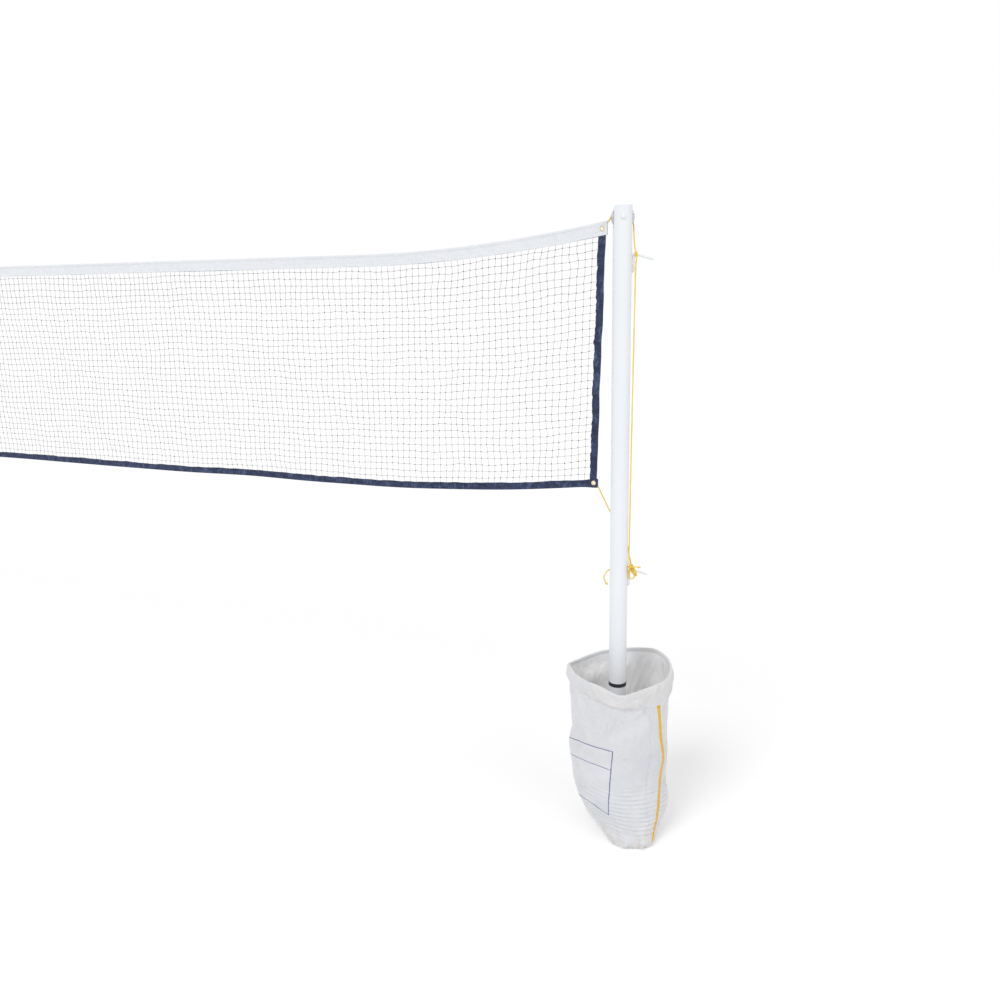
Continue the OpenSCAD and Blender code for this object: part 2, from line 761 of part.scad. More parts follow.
at_left_pole() cleat(lower_cleat_z);  // lower_cleat_left
at_left_pole() sack();  // sack_left
at_left_pole() ballast_sand();  // ballast_sand_left
at_left_pole() cord(halyard_route);  // halyard_left
at_left_pole() hitch(halyard_hitch_route);  // halyard_hitch_left
at_left_pole() cord(foot_cord_route);  // foot_cord_left
at_left_pole() hitch(foot_hitch_route);  // foot_hitch_left
net_mesh();
top_tape();
line_in_tape(line_depth);  // headline
bottom_tape();
line_in_tape(foot_line_depth);  // foot_line
side_tape(1);  // side_tape_right
side_tape(-1);  // side_tape_left
net_eyelets();
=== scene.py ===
"""Net on two poles, dressed for rendering. Metres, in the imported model's own frame."""
import math

import bpy
import numpy as np
from mathutils import Matrix, Vector


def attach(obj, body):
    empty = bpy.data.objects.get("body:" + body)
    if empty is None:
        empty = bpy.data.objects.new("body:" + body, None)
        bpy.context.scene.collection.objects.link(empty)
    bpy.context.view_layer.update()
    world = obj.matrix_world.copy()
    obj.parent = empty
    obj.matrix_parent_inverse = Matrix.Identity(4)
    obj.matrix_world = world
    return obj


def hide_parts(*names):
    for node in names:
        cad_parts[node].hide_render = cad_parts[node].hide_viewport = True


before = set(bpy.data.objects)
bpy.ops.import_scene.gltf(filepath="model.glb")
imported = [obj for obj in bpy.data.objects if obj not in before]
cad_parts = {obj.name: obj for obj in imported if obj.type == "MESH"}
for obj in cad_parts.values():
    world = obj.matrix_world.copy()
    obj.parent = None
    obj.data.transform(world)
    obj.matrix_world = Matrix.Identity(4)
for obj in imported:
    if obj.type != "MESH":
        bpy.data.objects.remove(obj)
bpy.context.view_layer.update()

BODY = "net_and_poles"
MM = 0.001
TAU = 2 * math.pi


# ---------------------------------------------------------------- camera

def make_camera():
    """A level-headed camera to the right of the net, at eye height, looking down to the pole."""
    yaw, pitch, roll = (math.radians(a) for a in (22.38, 14.38, -1.32))
    look = Vector((-math.sin(yaw) * math.cos(pitch), math.cos(yaw) * math.cos(pitch), -math.sin(pitch)))
    side = Vector((math.cos(yaw), math.sin(yaw), 0))
    up = side.cross(look)
    x_axis = side * math.cos(roll) + up * math.sin(roll)
    y_axis = -side * math.sin(roll) + up * math.cos(roll)
    data = bpy.data.cameras.new("camera")
    data.sensor_width = 36
    data.lens = 888 * 36 / 1000
    data.clip_start, data.clip_end = 0.05, 200
    cam = bpy.data.objects.new("camera", data)
    bpy.context.scene.collection.objects.link(cam)
    m = Matrix((x_axis, y_axis, -look)).transposed().to_4x4()
    m.translation = (3.736, -2.504, 1.759)
    cam.matrix_world = m
    bpy.context.scene.camera = cam


make_camera()


# ---------------------------------------------------------------- mesh tools

def waves(seed, count, short, long, dims=2, lean=None):
    """A smooth random field, about -1 to 1, with wavelengths from short to long, in metres."""
    g = np.random.default_rng(seed)
    length = np.exp(g.uniform(np.log(short), np.log(long), count))
    way = g.normal(size=(count, dims))
    if lean is not None:
        way *= np.asarray(lean)
    way /= np.linalg.norm(way, axis=1, keepdims=True)
    k = way * (TAU / length)[:, None]
    phase = g.uniform(0, TAU, count)
    size = (length / length.max()) ** 0.6
    size /= math.sqrt((size ** 2).sum() / 2) * 1.6

    def field(*xs):
        out = 0.0
        for i in range(count):
            out = out + size[i] * np.sin(sum(k[i, d] * xs[d] for d in range(dims)) + phase[i])
        return out
    return field


def smooth_step(x, lo, hi):
    t = np.clip((x - lo) / (hi - lo), 0, 1)
    return t * t * (3 - 2 * t)


def bell(x, width):
    return np.exp(-(x / width) ** 2)


def grid_faces(rows, cols, wrap_rows=False, wrap_cols=False, first=0):
    r = np.arange(rows if wrap_rows else rows - 1)
    c = np.arange(cols if wrap_cols else cols - 1)
    rr, cc = np.meshgrid(r, c, indexing="ij")
    r2, c2 = (rr + 1) % rows, (cc + 1) % cols
    return first + np.stack([rr * cols + cc, rr * cols + c2, r2 * cols + c2, r2 * cols + cc], -1).reshape(-1, 4)


def mesh_piece(name, verts, faces, mat, uv=None, smooth=True, more=()):
    """One object from point and face arrays; more holds further face arrays, such as caps."""
    verts = np.asarray(verts, np.float32).reshape(-1, 3)
    lists = [np.asarray(faces, np.int32)] + [np.asarray(f, np.int32) for f in more]
    rel = verts.astype(float) - verts.mean(0)
    volume = sum(np.einsum("ij,ij->", rel[f[:, 0]], np.cross(rel[f[:, k]], rel[f[:, k + 1]]))
                 for f in lists for k in range(1, f.shape[1] - 1))
    if volume < 0:
        lists = [f[:, ::-1] for f in lists]
    loops = np.concatenate([f.ravel() for f in lists])
    sizes = np.concatenate([np.full(len(f), f.shape[1], np.int32) for f in lists])
    me = bpy.data.meshes.new(name)
    me.vertices.add(len(verts))
    me.vertices.foreach_set("co", verts.ravel())
    me.loops.add(len(loops))
    me.loops.foreach_set("vertex_index", loops)
    me.polygons.add(len(sizes))
    me.polygons.foreach_set("loop_start", np.concatenate([[0], np.cumsum(sizes)[:-1]]).astype(np.int32))
    me.polygons.foreach_set("use_smooth", np.full(len(sizes), smooth))
    if uv is not None:
        layer = me.uv_layers.new(name="UVMap")
        layer.data.foreach_set("uv", np.asarray(uv, np.float32).reshape(-1, 2)[loops].ravel())
    me.update(calc_edges=True)
    me.validate()
    ob = bpy.data.objects.new(name, me)
    bpy.context.scene.collection.objects.link(ob)
    ob.data.materials.append(mat)
    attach(ob, BODY)
    return ob


def turned_right(p):
    """From a pole's own frame (outwards, back, up) to the scene, for the right-hand pole."""
    a = math.radians(20)
    p = np.asarray(p, float)
    u, v, z = p[..., 0], p[..., 1], p[..., 2]
    return np.stack([3.09 + u * math.cos(a) - v * math.sin(a), u * math.sin(a) + v * math.cos(a), z], -1)


def to_side(p, side):
    """The left end is the right end turned by half a turn about the vertical."""
    return np.asarray(p) * (np.array([1, 1, 1]) if side == "right" else np.array([-1, -1, 1]))


def resample(points, step):
    p = np.asarray(points, float)
    d = np.concatenate([[0], np.cumsum(np.linalg.norm(np.diff(p, axis=0), axis=1))])
    n = max(2, int(round(d[-1] / step)) + 1)
    s = np.linspace(0, d[-1], n)
    return np.stack([np.interp(s, d, p[:, i]) for i in range(3)], -1)


def spline(points, per=10):
    """Centripetal Catmull-Rom through the points."""
    p = np.asarray(points, float)
    keep = np.concatenate([[True], np.linalg.norm(np.diff(p, axis=0), axis=1) > 1e-5])
    p = p[keep]
    p = np.vstack([2 * p[0] - p[1], p, 2 * p[-1] - p[-2]])
    out = []
    for i in range(1, len(p) - 2):
        p0, p1, p2, p3 = p[i - 1:i + 3]
        t1 = np.linalg.norm(p1 - p0) ** 0.5
        t2 = t1 + np.linalg.norm(p2 - p1) ** 0.5
        t3 = t2 + np.linalg.norm(p3 - p2) ** 0.5
        t = np.linspace(t1, t2, per, endpoint=False)[:, None]
        a1 = (t1 - t) / t1 * p0 + t / t1 * p1
        a2 = (t2 - t) / (t2 - t1) * p1 + (t - t1) / (t2 - t1) * p2
        a3 = (t3 - t) / (t3 - t2) * p2 + (t - t2) / (t3 - t2) * p3
        b1 = (t2 - t) / t2 * a1 + t / t2 * a2
        b2 = (t3 - t) / (t3 - t1) * a2 + (t - t1) / (t3 - t1) * a3
        out.append((t2 - t) / (t2 - t1) * b1 + (t - t1) / (t2 - t1) * b2)
    out.append(p[-2][None])
    return np.vstack(out)


def frames(path):
    """Tangents and two normals that turn as little as possible along the path."""
    t = np.gradient(path, axis=0)
    t /= np.linalg.norm(t, axis=1, keepdims=True)
    n = np.zeros_like(path)
    ref = np.array([0, 0, 1.0]) if abs(t[0, 2]) < 0.9 else np.array([1.0, 0, 0])
    v = ref - t[0] * (ref @ t[0])
    for i in range(len(path)):
        v = v - t[i] * (v @ t[i])
        v /= np.linalg.norm(v)
        n[i] = v
    return t, n, np.cross(t, n)


def tube(name, path, radius, mat, sides=14, swell=None, braid=0.0):
    """A cord along the path: radius in metres, swell a factor per point, braid the strands' relief."""
    t, n, b = frames(path)
    d = np.concatenate([[0], np.cumsum(np.linalg.norm(np.diff(path, axis=0), axis=1))])
    th = np.arange(sides) / sides * TAU
    r = np.full((len(path), sides), radius)
    if braid:
        k = TAU / 0.0068
        r = r * (1 - braid + braid * np.sin(4 * th[None] + k * d[:, None]) * np.sin(4 * th[None] - k * d[:, None]))
    if swell is not None:
        r = r * swell[:, None]
    ring = path[:, None] + r[..., None] * (np.cos(th)[None, :, None] * n[:, None] + np.sin(th)[None, :, None] * b[:, None])
    verts = ring.reshape(-1, 3)
    ends = np.array([path[0] - t[0] * radius * 0.5, path[-1] + t[-1] * radius * 0.5])
    verts = np.vstack([verts, ends])
    faces = grid_faces(len(path), sides, wrap_cols=True)[:, ::-1]
    i = np.arange(sides)
    j = (i + 1) % sides
    last = (len(path) - 1) * sides
    caps = np.vstack([np.stack([j, i, np.full(sides, len(verts) - 2)], -1)[:, ::-1],
                      np.stack([last + i, last + j, np.full(sides, len(verts) - 1)], -1)[:, ::-1]])
    uv = np.stack([np.tile(th / TAU, len(path)), np.repeat(d, sides)], -1)
    uv = np.vstack([uv, [[0, 0], [0, d[-1]]]])
    return mesh_piece(name, verts, faces, mat, uv=uv, more=[caps])


# ---------------------------------------------------------------- materials

class Mat:
    """A material with its principled shader, and short ways to add nodes."""

    def __init__(self, name, colour, rough, metal=0.0, spec=0.5, sheen=0.0):
        self.m = bpy.data.materials.new(name)
        self.m.use_nodes = True
        self.t = self.m.node_tree
        self.b = self.t.nodes["Principled BSDF"]
        self.b.inputs["Base Color"].default_value = (*colour, 1)
        self.b.inputs["Roughness"].default_value = rough
        self.b.inputs["Metallic"].default_value = metal
        self.b.inputs["Specular IOR Level"].default_value = spec
        if sheen:
            self.b.inputs["Sheen Weight"].default_value = sheen
        self.m.diffuse_color = (*colour, 1)

    def put(self, socket, value):
        if isinstance(value, bpy.types.NodeSocket):
            self.t.links.new(value, socket)
        elif value is not None:
            socket.default_value = value

    def coord(self, kind="Object"):
        return self.t.nodes.new("ShaderNodeTexCoord").outputs[kind]

    def move(self, vec, scale=(1, 1, 1), loc=(0, 0, 0), rot=(0, 0, 0)):
        n = self.t.nodes.new("ShaderNodeMapping")
        self.put(n.inputs["Vector"], vec)
        n.inputs["Scale"].default_value = scale
        n.inputs["Location"].default_value = loc
        n.inputs["Rotation"].default_value = rot
        return n.outputs[0]

    def noise(self, vec, scale, detail=3.0, rough=0.55, distort=0.0):
        n = self.t.nodes.new("ShaderNodeTexNoise")
        self.put(n.inputs["Vector"], vec)
        n.inputs["Scale"].default_value = scale
        n.inputs["Detail"].default_value = detail
        n.inputs["Roughness"].default_value = rough
        n.inputs["Distortion"].default_value = distort
        return n.outputs["Fac"]

    def cells(self, vec, scale, feature="F1", out="Distance"):
        n = self.t.nodes.new("ShaderNodeTexVoronoi")
        n.feature = feature
        self.put(n.inputs["Vector"], vec)
        n.inputs["Scale"].default_value = scale
        return n.outputs[out]

    def calc(self, op, a, b=None, c=None):
        n = self.t.nodes.new("ShaderNodeMath")
        n.operation = op
        for i, v in enumerate((a, b, c)):
            if v is not None:
                self.put(n.inputs[i], v)
        return n.outputs[0]

    def split(self, vec):
        n = self.t.nodes.new("ShaderNodeSeparateXYZ")
        self.put(n.inputs[0], vec)
        return n.outputs

    def span(self, value, lo, hi, out_lo=0.0, out_hi=1.0, soft=True):
        n = self.t.nodes.new("ShaderNodeMapRange")
        n.interpolation_type = "SMOOTHSTEP" if soft else "LINEAR"
        self.put(n.inputs["Value"], value)
        for key, v in (("From Min", lo), ("From Max", hi), ("To Min", out_lo), ("To Max", out_hi)):
            n.inputs[key].default_value = v
        return n.outputs[0]

    def mix(self, fac, a, b):
        n = self.t.nodes.new("ShaderNodeMix")
        n.data_type = "RGBA"
        self.put(n.inputs["Factor"], fac)
        for key, v in ((6, a), (7, b)):
            if isinstance(v, bpy.types.NodeSocket):
                self.put(n.inputs[key], v)
            else:
                n.inputs[key].default_value = (*v, 1)
        return n.outputs[2]

    def bump(self, height, distance, strength=1.0):
        n = self.t.nodes.new("ShaderNodeBump")
        n.inputs["Strength"].default_value = strength
        n.inputs["Distance"].default_value = distance
        self.put(n.inputs["Height"], height)
        last = self.b.inputs["Normal"]
        if last.is_linked:
            self.t.links.new(last.links[0].from_socket, n.inputs["Normal"])
        self.t.links.new(n.outputs[0], last)

    def colour(self, socket):
        self.t.links.new(socket, self.b.inputs["Base Color"])

    def rough(self, socket):
        self.t.links.new(socket, self.b.inputs["Roughness"])


def paint_material():
    m = Mat("satin_white_paint", (0.85, 0.87, 0.905), 0.32, spec=0.45)
    o = m.coord()
    tint = m.noise(o, 3.5, 4)
    scuff = m.noise(m.move(o, (1, 1, 0.25)), 38, 6, 0.7)
    marks = m.span(scuff, 0.68, 0.76, 0, 0.3)
    c = m.mix(m.span(tint, 0.3, 0.7), (0.84, 0.865, 0.905), (0.86, 0.88, 0.915))
    m.colour(m.mix(marks, c, (0.62, 0.63, 0.64)))
    m.rough(m.span(m.noise(o, 60, 3), 0.3, 0.7, 0.27, 0.38))
    m.bump(m.noise(o, 420, 2), 0.00012, 0.6)
    return m.m


def zinc_material():
    m = Mat("zinc_plate", (0.66, 0.68, 0.71), 0.34, metal=1.0)
    o = m.coord()
    c = m.mix(m.span(m.noise(o, 90, 4), 0.3, 0.7), (0.6, 0.62, 0.66), (0.72, 0.735, 0.755))
    c = m.mix(m.span(m.noise(o, 28, 5, 0.7), 0.58, 0.74, 0, 0.5), c, (0.5, 0.48, 0.42))
    m.colour(c)
    m.rough(m.span(m.noise(o, 240, 3), 0.3, 0.7, 0.26, 0.46))
    m.bump(m.noise(o, 900, 2), 0.00008, 0.6)
    return m.m


def wheel_material(side):
    """Turned metal: fine rings about the wheel's own axis."""
    m = Mat(f"turned_wheel_{side}", (0.55, 0.56, 0.58), 0.3, metal=1.0)
    sign = 1 if side == "right" else -1
    o = m.move(m.coord(), loc=(-3.09 * sign, 0, -1.898))
    r = m.move(o, rot=(0, 0, -math.radians(20)))
    x, y, z = m.split(r)
    dist = m.calc("SQRT", m.calc("ADD", m.calc("MULTIPLY", x, x), m.calc("MULTIPLY", z, z)))
    lines = m.calc("SINE", m.calc("MULTIPLY", dist, TAU / 0.0011))
    dirt = m.noise(m.coord(), 160, 4)
    m.colour(m.mix(m.span(dirt, 0.35, 0.7), (0.6, 0.61, 0.63), (0.43, 0.44, 0.46)))
    m.rough(m.span(m.noise(m.coord(), 300, 3), 0.3, 0.7, 0.24, 0.4))
    m.bump(lines, 0.00004, 0.8)
    return m.m


def black_material():
    m = Mat("moulded_black", (0.018, 0.019, 0.024), 0.42)
    o = m.coord()
    m.colour(m.mix(m.span(m.noise(o, 70, 5), 0.4, 0.75), (0.014, 0.015, 0.019), (0.045, 0.046, 0.052)))
    m.rough(m.span(m.noise(o, 200, 3), 0.3, 0.7, 0.34, 0.52))
    m.bump(m.noise(o, 1400, 2), 0.00006, 0.6)
    return m.m


def brass_material():
    m = Mat("pressed_brass", (0.83, 0.71, 0.44), 0.28, metal=1.0)
    o = m.coord()
    c = m.mix(m.span(m.noise(o, 260, 4), 0.35, 0.7), (0.86, 0.75, 0.5), (0.69, 0.55, 0.3))
    m.colour(c)
    m.rough(m.span(m.noise(o, 500, 3), 0.3, 0.7, 0.2, 0.42))
    m.bump(m.noise(o, 1500, 2), 0.00004, 0.6)
    return m.m


def cord_material():
    """Braided yellow cord: UV x runs round it and UV y along it in metres."""
    m = Mat("braided_cord", (0.94, 0.68, 0.07), 0.62, spec=0.3, sheen=0.15)
    uv = m.split(m.coord("UV"))
    a = m.calc("MULTIPLY", uv[0], 4 * TAU)
    z = m.calc("MULTIPLY", uv[1], TAU / 0.0068)
    p = m.calc("MULTIPLY", m.calc("SINE", m.calc("ADD", a, z)), m.calc("SINE", m.calc("SUBTRACT", a, z)))
    fibre = m.noise(m.move(m.coord("UV"), (90, 900, 1)), 1, 3, 0.6)
    # painted shade: the cord is darker where the braid's relief p is low, in the gaps between its strands
    low = m.span(p, -0.6, 0.35)
    worn = m.span(m.noise(m.coord(), 22, 4), 0.42, 0.68)
    c = m.mix(low, (0.78, 0.46, 0.015), (0.96, 0.7, 0.05))
    c = m.mix(m.calc("MULTIPLY", worn, 0.6), c, (0.96, 0.77, 0.24))
    m.colour(m.mix(m.span(fibre, 0.3, 0.75, 0, 0.35), c, (0.97, 0.84, 0.32)))
    m.bump(p, 0.0002, 0.7)
    m.bump(fibre, 0.00012, 0.6)
    return m.m


def twine_material():
    m = Mat("knotted_twine", (0.08, 0.05, 0.05), 0.8, spec=0.2)
    o = m.coord()
    c = m.mix(m.span(m.noise(o, 14, 4), 0.35, 0.7), (0.05, 0.032, 0.034), (0.12, 0.08, 0.078))
    m.colour(m.mix(m.span(m.noise(o, 900, 2), 0.4, 0.7), c, (0.18, 0.12, 0.115)))
    m.bump(m.noise(o, 2600, 2), 0.0002, 0.6)
    return m.m


def tape_material(name, dark, light, worn, rough, creased=0.0):
    """Woven tape: fine plain weave from the object's own place, soft creases with painted shade in their hollows, and
    random pale patches; creased adds painted highlights along the folds.
    """
    m = Mat(name, light, rough, spec=0.15, sheen=0.05)
    o = m.coord()
    x, y, z = m.split(o)
    warp = m.calc("SINE", m.calc("MULTIPLY", x, TAU / 0.0011))
    weft = m.calc("SINE", m.calc("MULTIPLY", z, TAU / 0.0009))
    weave = m.calc("MULTIPLY", warp, weft)
    crease_and_shade = m.noise(m.move(o, (1, 1, 2.2)), 42, 5, 0.62, 0.4)
    # painted shade: the tape is darker where the crease field is low, in the hollows of its bump, and paler where it
    # stands up
    c = m.mix(m.span(crease_and_shade, 0.36, 0.66), dark, light)
    c = m.mix(m.span(m.noise(o, 9, 5, 0.65), 0.55, 0.75, 0, 0.6), c, worn)
    if creased:
        # painted highlights: pale streaks on the raised fold lines, where light catches the folds
        highlight_streak = m.noise(m.move(o, (1, 1, 0.45), rot=(0, math.radians(24), 0)), 60, 5, 0.66, 0.9)
        c = m.mix(m.span(highlight_streak, 0.5, 0.66, 0, creased), c, worn)
        m.bump(highlight_streak, 0.003, 0.6)
    m.colour(m.mix(m.span(weave, -0.2, 1.0, 0.0, 0.16), c, worn))
    m.bump(weave, 0.00018, 0.7)
    m.bump(crease_and_shade, 0.0007, 0.5)
    return m.m


def sack_material(marks):
    """Woven film tape, 2.5 mm wide. UV x is the angle in degrees / 100, UV y the height in metres."""
    m = Mat("woven_sack", (0.74, 0.75, 0.77), 0.5, spec=0.4, sheen=0.1)
    # thin film tape lets some of the light through
    m.b.inputs["Subsurface Weight"].default_value = 0.5
    m.b.inputs["Subsurface Radius"].default_value = (1, 1, 1)
    m.b.inputs["Subsurface Scale"].default_value = 0.008
    o = m.coord()
    uv = m.split(m.coord("UV"))
    ang = m.calc("MULTIPLY", uv[0], 100)
    high = uv[1]
    along = m.calc("MULTIPLY", ang, 0.155 * math.pi / 180)
    warp = m.calc("SINE", m.calc("MULTIPLY", along, TAU / 0.005))
    weft = m.calc("SINE", m.calc("MULTIPLY", high, TAU / 0.005))
    weave = m.calc("MULTIPLY", warp, weft)
    blot = m.noise(o, 7, 5, 0.6)
    fine = m.noise(m.move(o, (1, 1, 1.6)), 60, 5, 0.65, 0.5)
    c = m.mix(m.span(blot, 0.35, 0.68), (0.68, 0.695, 0.73), (0.75, 0.762, 0.79))
    c = m.mix(m.span(fine, 0.56, 0.74, 0, 0.35), c, (0.6, 0.61, 0.63))
    c = m.mix(m.span(weave, 0.1, 1.0, 0.0, 0.14), c, (0.86, 0.865, 0.875))
    # dust from the ground, and a warmer cuff
    dust = m.calc("MULTIPLY", m.span(high, 0.0, 0.11, 1.0, 0.0), m.span(m.noise(o, 34, 5, 0.65), 0.34, 0.66))
    c = m.mix(m.calc("MULTIPLY", dust, 0.5), c, (0.56, 0.49, 0.4))
    cuff = m.calc("MULTIPLY", m.span(high, 0.545, 0.555), m.span(m.noise(o, 16, 4), 0.36, 0.7))
    c = m.mix(m.calc("MULTIPLY", cuff, 0.4), c, (0.72, 0.655, 0.6))
    if marks:
        c = sack_marks(m, c, ang, high, o)
    # painted light: the inner face is painted paler, standing for daylight that comes through the cloth
    c = m.mix(m.calc("MULTIPLY", m.span(high, 0.69, 0.70), 0.85), c, (0.93, 0.935, 0.945))
    m.colour(c)
    m.rough(m.span(fine, 0.3, 0.7, 0.42, 0.6))
    m.bump(weave, 0.00022, 0.7)
    m.bump(fine, 0.0022, 0.6)
    # sharp crumple lines, as stiff film tape takes them
    for scale, depth in ((7, 0.0044), (16, 0.0022)):
        field = m.noise(m.move(o, (1, 1, 0.8)), scale, 1, 0.4, 0.8)
        away = m.calc("ABSOLUTE", m.calc("SUBTRACT", field, 0.5))
        m.bump(m.span(away, 0.0, 0.13, 1, 0, soft=False), depth, 0.45)
    return m.m


def line_mask(m, value, middle, half, soft):
    """1 where value is within half of middle; middle may be a socket."""
    off = m.calc("ABSOLUTE", m.calc("SUBTRACT", value, middle))
    return m.span(off, half - soft, half + soft, 1.0, 0.0)


def sack_marks(m, c, ang, high, o):
    """A plain orange stripe and an empty ruled box, worn where the cloth creases."""
    worn = m.span(m.noise(o, 120, 5, 0.7), 0.34, 0.48, 0.45, 1.0)
    curve = m.t.nodes.new("ShaderNodeFloatCurve")
    line = curve.mapping.curves[0]
    while len(line.points) < len(STRIPE):
        line.points.new(0.5, 0.5)
    for point, (z, a) in zip(line.points, STRIPE):
        point.location = (z / 0.6, (a + 60) / 60)
    curve.mapping.update()
    m.put(curve.inputs["Value"], m.calc("DIVIDE", high, 0.6))
    middle = m.calc("SUBTRACT", m.calc("MULTIPLY", curve.outputs[0], 60), 60)
    off = m.calc("ABSOLUTE", m.calc("SUBTRACT", ang, middle))
    wide = m.span(m.calc("ABSOLUTE", m.calc("SUBTRACT", high, 0.28)), 0.0, 0.2, 3.5, 2.3)
    stripe = m.span(m.calc("DIVIDE", off, wide), 0.9, 1.1, 1, 0)
    stripe = m.calc("MULTIPLY", stripe, m.span(high, 0.012, 0.018))
    stripe = m.calc("MULTIPLY", stripe, m.span(high, 0.52, 0.53, 1, 0))
    c = m.mix(m.calc("MULTIPLY", stripe, worn), c, (0.8, 0.47, 0.012))
    rows = None
    for top, at, drop, half in BOX_ROWS:
        away = m.calc("SUBTRACT", ang, at)
        h = m.calc("ADD", high, m.calc("MULTIPLY", m.calc("MULTIPLY", away, away), drop))
        row = line_mask(m, h, top, half, 0.0004)
        rows = row if rows is None else m.calc("MAXIMUM", rows, row)
    low = m.calc("DIVIDE", m.calc("SUBTRACT", BOX_TOP, high), BOX_DEEP)
    lean = m.calc("ADD", ang, m.calc("MULTIPLY", m.calc("MULTIPLY", low, low), BOX_LEAN))
    inside = m.calc("MULTIPLY", m.span(ang, BOX_FROM - 0.4, BOX_FROM, 0, 1), m.span(lean, BOX_TO + 0.2, BOX_TO + 0.6, 1, 0))
    posts = m.calc("MAXIMUM", line_mask(m, ang, BOX_FROM, 0.6, 0.15), line_mask(m, lean, BOX_TO, 0.62, 0.15))
    posts = m.calc("MULTIPLY", posts, m.calc("MULTIPLY", m.span(low, -0.01, 0.0), m.span(low, 1.0, 1.01, 1, 0)))
    ink = m.calc("MULTIPLY", m.calc("MAXIMUM", m.calc("MULTIPLY", rows, inside), posts), worn)
    return m.mix(m.calc("MULTIPLY", ink, 0.9), c, (0.08, 0.065, 0.3))


def sand_material():
    m = Mat("dry_sand", (0.66, 0.57, 0.44), 0.95, spec=0.15)
    o = m.coord()
    grain = m.cells(o, 1500, out="Distance")
    shade = m.noise(o, 2200, 2)
    c = m.mix(m.span(shade, 0.35, 0.65), (0.5, 0.41, 0.3), (0.78, 0.71, 0.58))
    m.colour(m.mix(m.span(m.noise(o, 26, 4), 0.4, 0.7, 0, 0.5), c, (0.6, 0.51, 0.39)))
    m.bump(grain, 0.0008, 0.8)
    m.bump(m.noise(o, 90, 4), 0.004, 0.5)
    return m.m


# ---------------------------------------------------------------- sack: shape

SACK_H, RIM_TILT = 0.543, 0.022
CUFF_H, CUFF_T = 0.046, 0.009
LEVELS = np.array([
    # height, left at the front, left at the back, right, half depth, cut away front left, full front right
    [0.000, 0.030, 0.068, 0.114, 0.133, -0.20, 0.23], [0.020, 0.059, 0.086, 0.127, 0.144, 0.00, 0.145],
    [0.045, 0.087, 0.101, 0.144, 0.141, 0.09, 0.055], [0.080, 0.109, 0.116, 0.160, 0.144, 0.10, 0.003],
    [0.120, 0.129, 0.129, 0.163, 0.147, 0.058, -0.009], [0.170, 0.139, 0.139, 0.160, 0.149, 0.03, -0.009],
    [0.240, 0.146, 0.147, 0.158, 0.150, 0.01, 0.0], [0.300, 0.147, 0.147, 0.158, 0.150, 0.0, 0.0],
    [0.360, 0.141, 0.141, 0.158, 0.149, 0.0, 0.0], [0.440, 0.142, 0.144, 0.159, 0.149, 0.0, 0.0],
    [0.500, 0.144, 0.146, 0.160, 0.150, 0.0, 0.0], [0.543, 0.147, 0.148, 0.162, 0.152, 0.0, 0.0],
])
fine_z = np.linspace(0, SACK_H, 600)
kernel = np.hanning(27)
kernel /= kernel.sum()


def smooth_level(col):
    y = np.interp(fine_z, LEVELS[:, 0], LEVELS[:, col])
    half = len(kernel) // 2
    pad = np.concatenate([2 * y[0] - y[half:0:-1], y, 2 * y[-1] - y[-2:-half - 2:-1]])
    return np.convolve(pad, kernel, "valid")


COLUMNS = [smooth_level(i) for i in range(1, LEVELS.shape[1])]


def around(degrees):
    """The same angle between -180 and 180."""
    return np.mod(degrees + 180, 360) - 180


def bag(theta, z, out=0.0):
    """A point of the sack in the pole's own frame: theta in degrees from outwards, z the plain height."""
    theta, z = np.broadcast_arrays(np.asarray(theta, float), np.asarray(z, float))
    a = np.radians(theta)
    front, back, r, d, cut, full = (np.interp(z, fine_z, k) for k in COLUMNS)
    l = front + (back - front) * smooth_step(np.sin(a), -0.35, 0.35)
    grow = 1 - cut * bell(around(theta + 138), 34) + full * bell(around(theta + 47), 26)
    mid = (r - l) / 2
    u = mid + (r + l) / 2 * np.cos(a) * grow
    v = d * np.sin(a) * grow
    stand = out / np.maximum(np.hypot(u - mid, v), 0.02)
    u = u + (u - mid) * stand
    v = v * (1 + stand)
    share = z / SACK_H
    zz = z - RIM_TILT / 2 * share ** 2 * np.cos(a + math.pi / 2)
    return np.stack([u, v, zz], -1)


# height and angle of the stripe's middle
STRIPE = [(0.0, -52.0), (0.022, -50.0), (0.07, -48.0), (0.129, -44.0), (0.2, -38.0), (0.25, -35.0),
          (0.283, -33.5), (0.346, -36.5), (0.41, -41.0), (0.494, -46.0), (0.6, -50.0)]
# each ruled line: greatest height, the angle where it has it, drop per squared degree, half thickness
BOX_ROWS = [(0.350, -118.0, 1.06e-5, 0.0016), (0.290, -126.0, 1.16e-5, 0.0012), (0.134, -145.0, 1.7e-5, 0.0016)]
BOX_FROM, BOX_TO, BOX_LEAN, BOX_TOP, BOX_DEEP = -186.0, -103.0, 9.5, 0.345, 0.229
CREASE_AT = -60.0


# ---------------------------------------------------------------- cords

CORD_R = 2 * MM
NET_H, NET_DEPTH = 1.892, 0.760
SAG, RUN, BOTTOM_SAG = 0.070, 0.800, 0.75
TOP_HALF, BOT_HALF = 3.048, 3.023
LINE_DEPTH = 0.0035
WHEEL_Z, UPPER_Z, LOWER_Z = 1.898, 1.800, 0.875
LEG_U, BEND_R, DROOP_DEG = 31.15, 5.0, 17.0
HITCH_LEAN = 5.5


def droop(s):
    return SAG * (1 - (1 - np.minimum(s, RUN) / RUN) ** 2)


def half_at(d):
    return TOP_HALF + (BOT_HALF - TOP_HALF) * d / NET_DEPTH


def sag_at(d):
    return 1 + (BOTTOM_SAG - 1) * d / NET_DEPTH


def in_pole_frame(p):
    """From millimetres past the pole's axis in the net's plane to the pole's turned frame."""
    a = math.radians(-20)
    return np.array([p[0] * math.cos(a) - p[1] * math.sin(a), p[0] * math.sin(a) + p[1] * math.cos(a), p[2]])


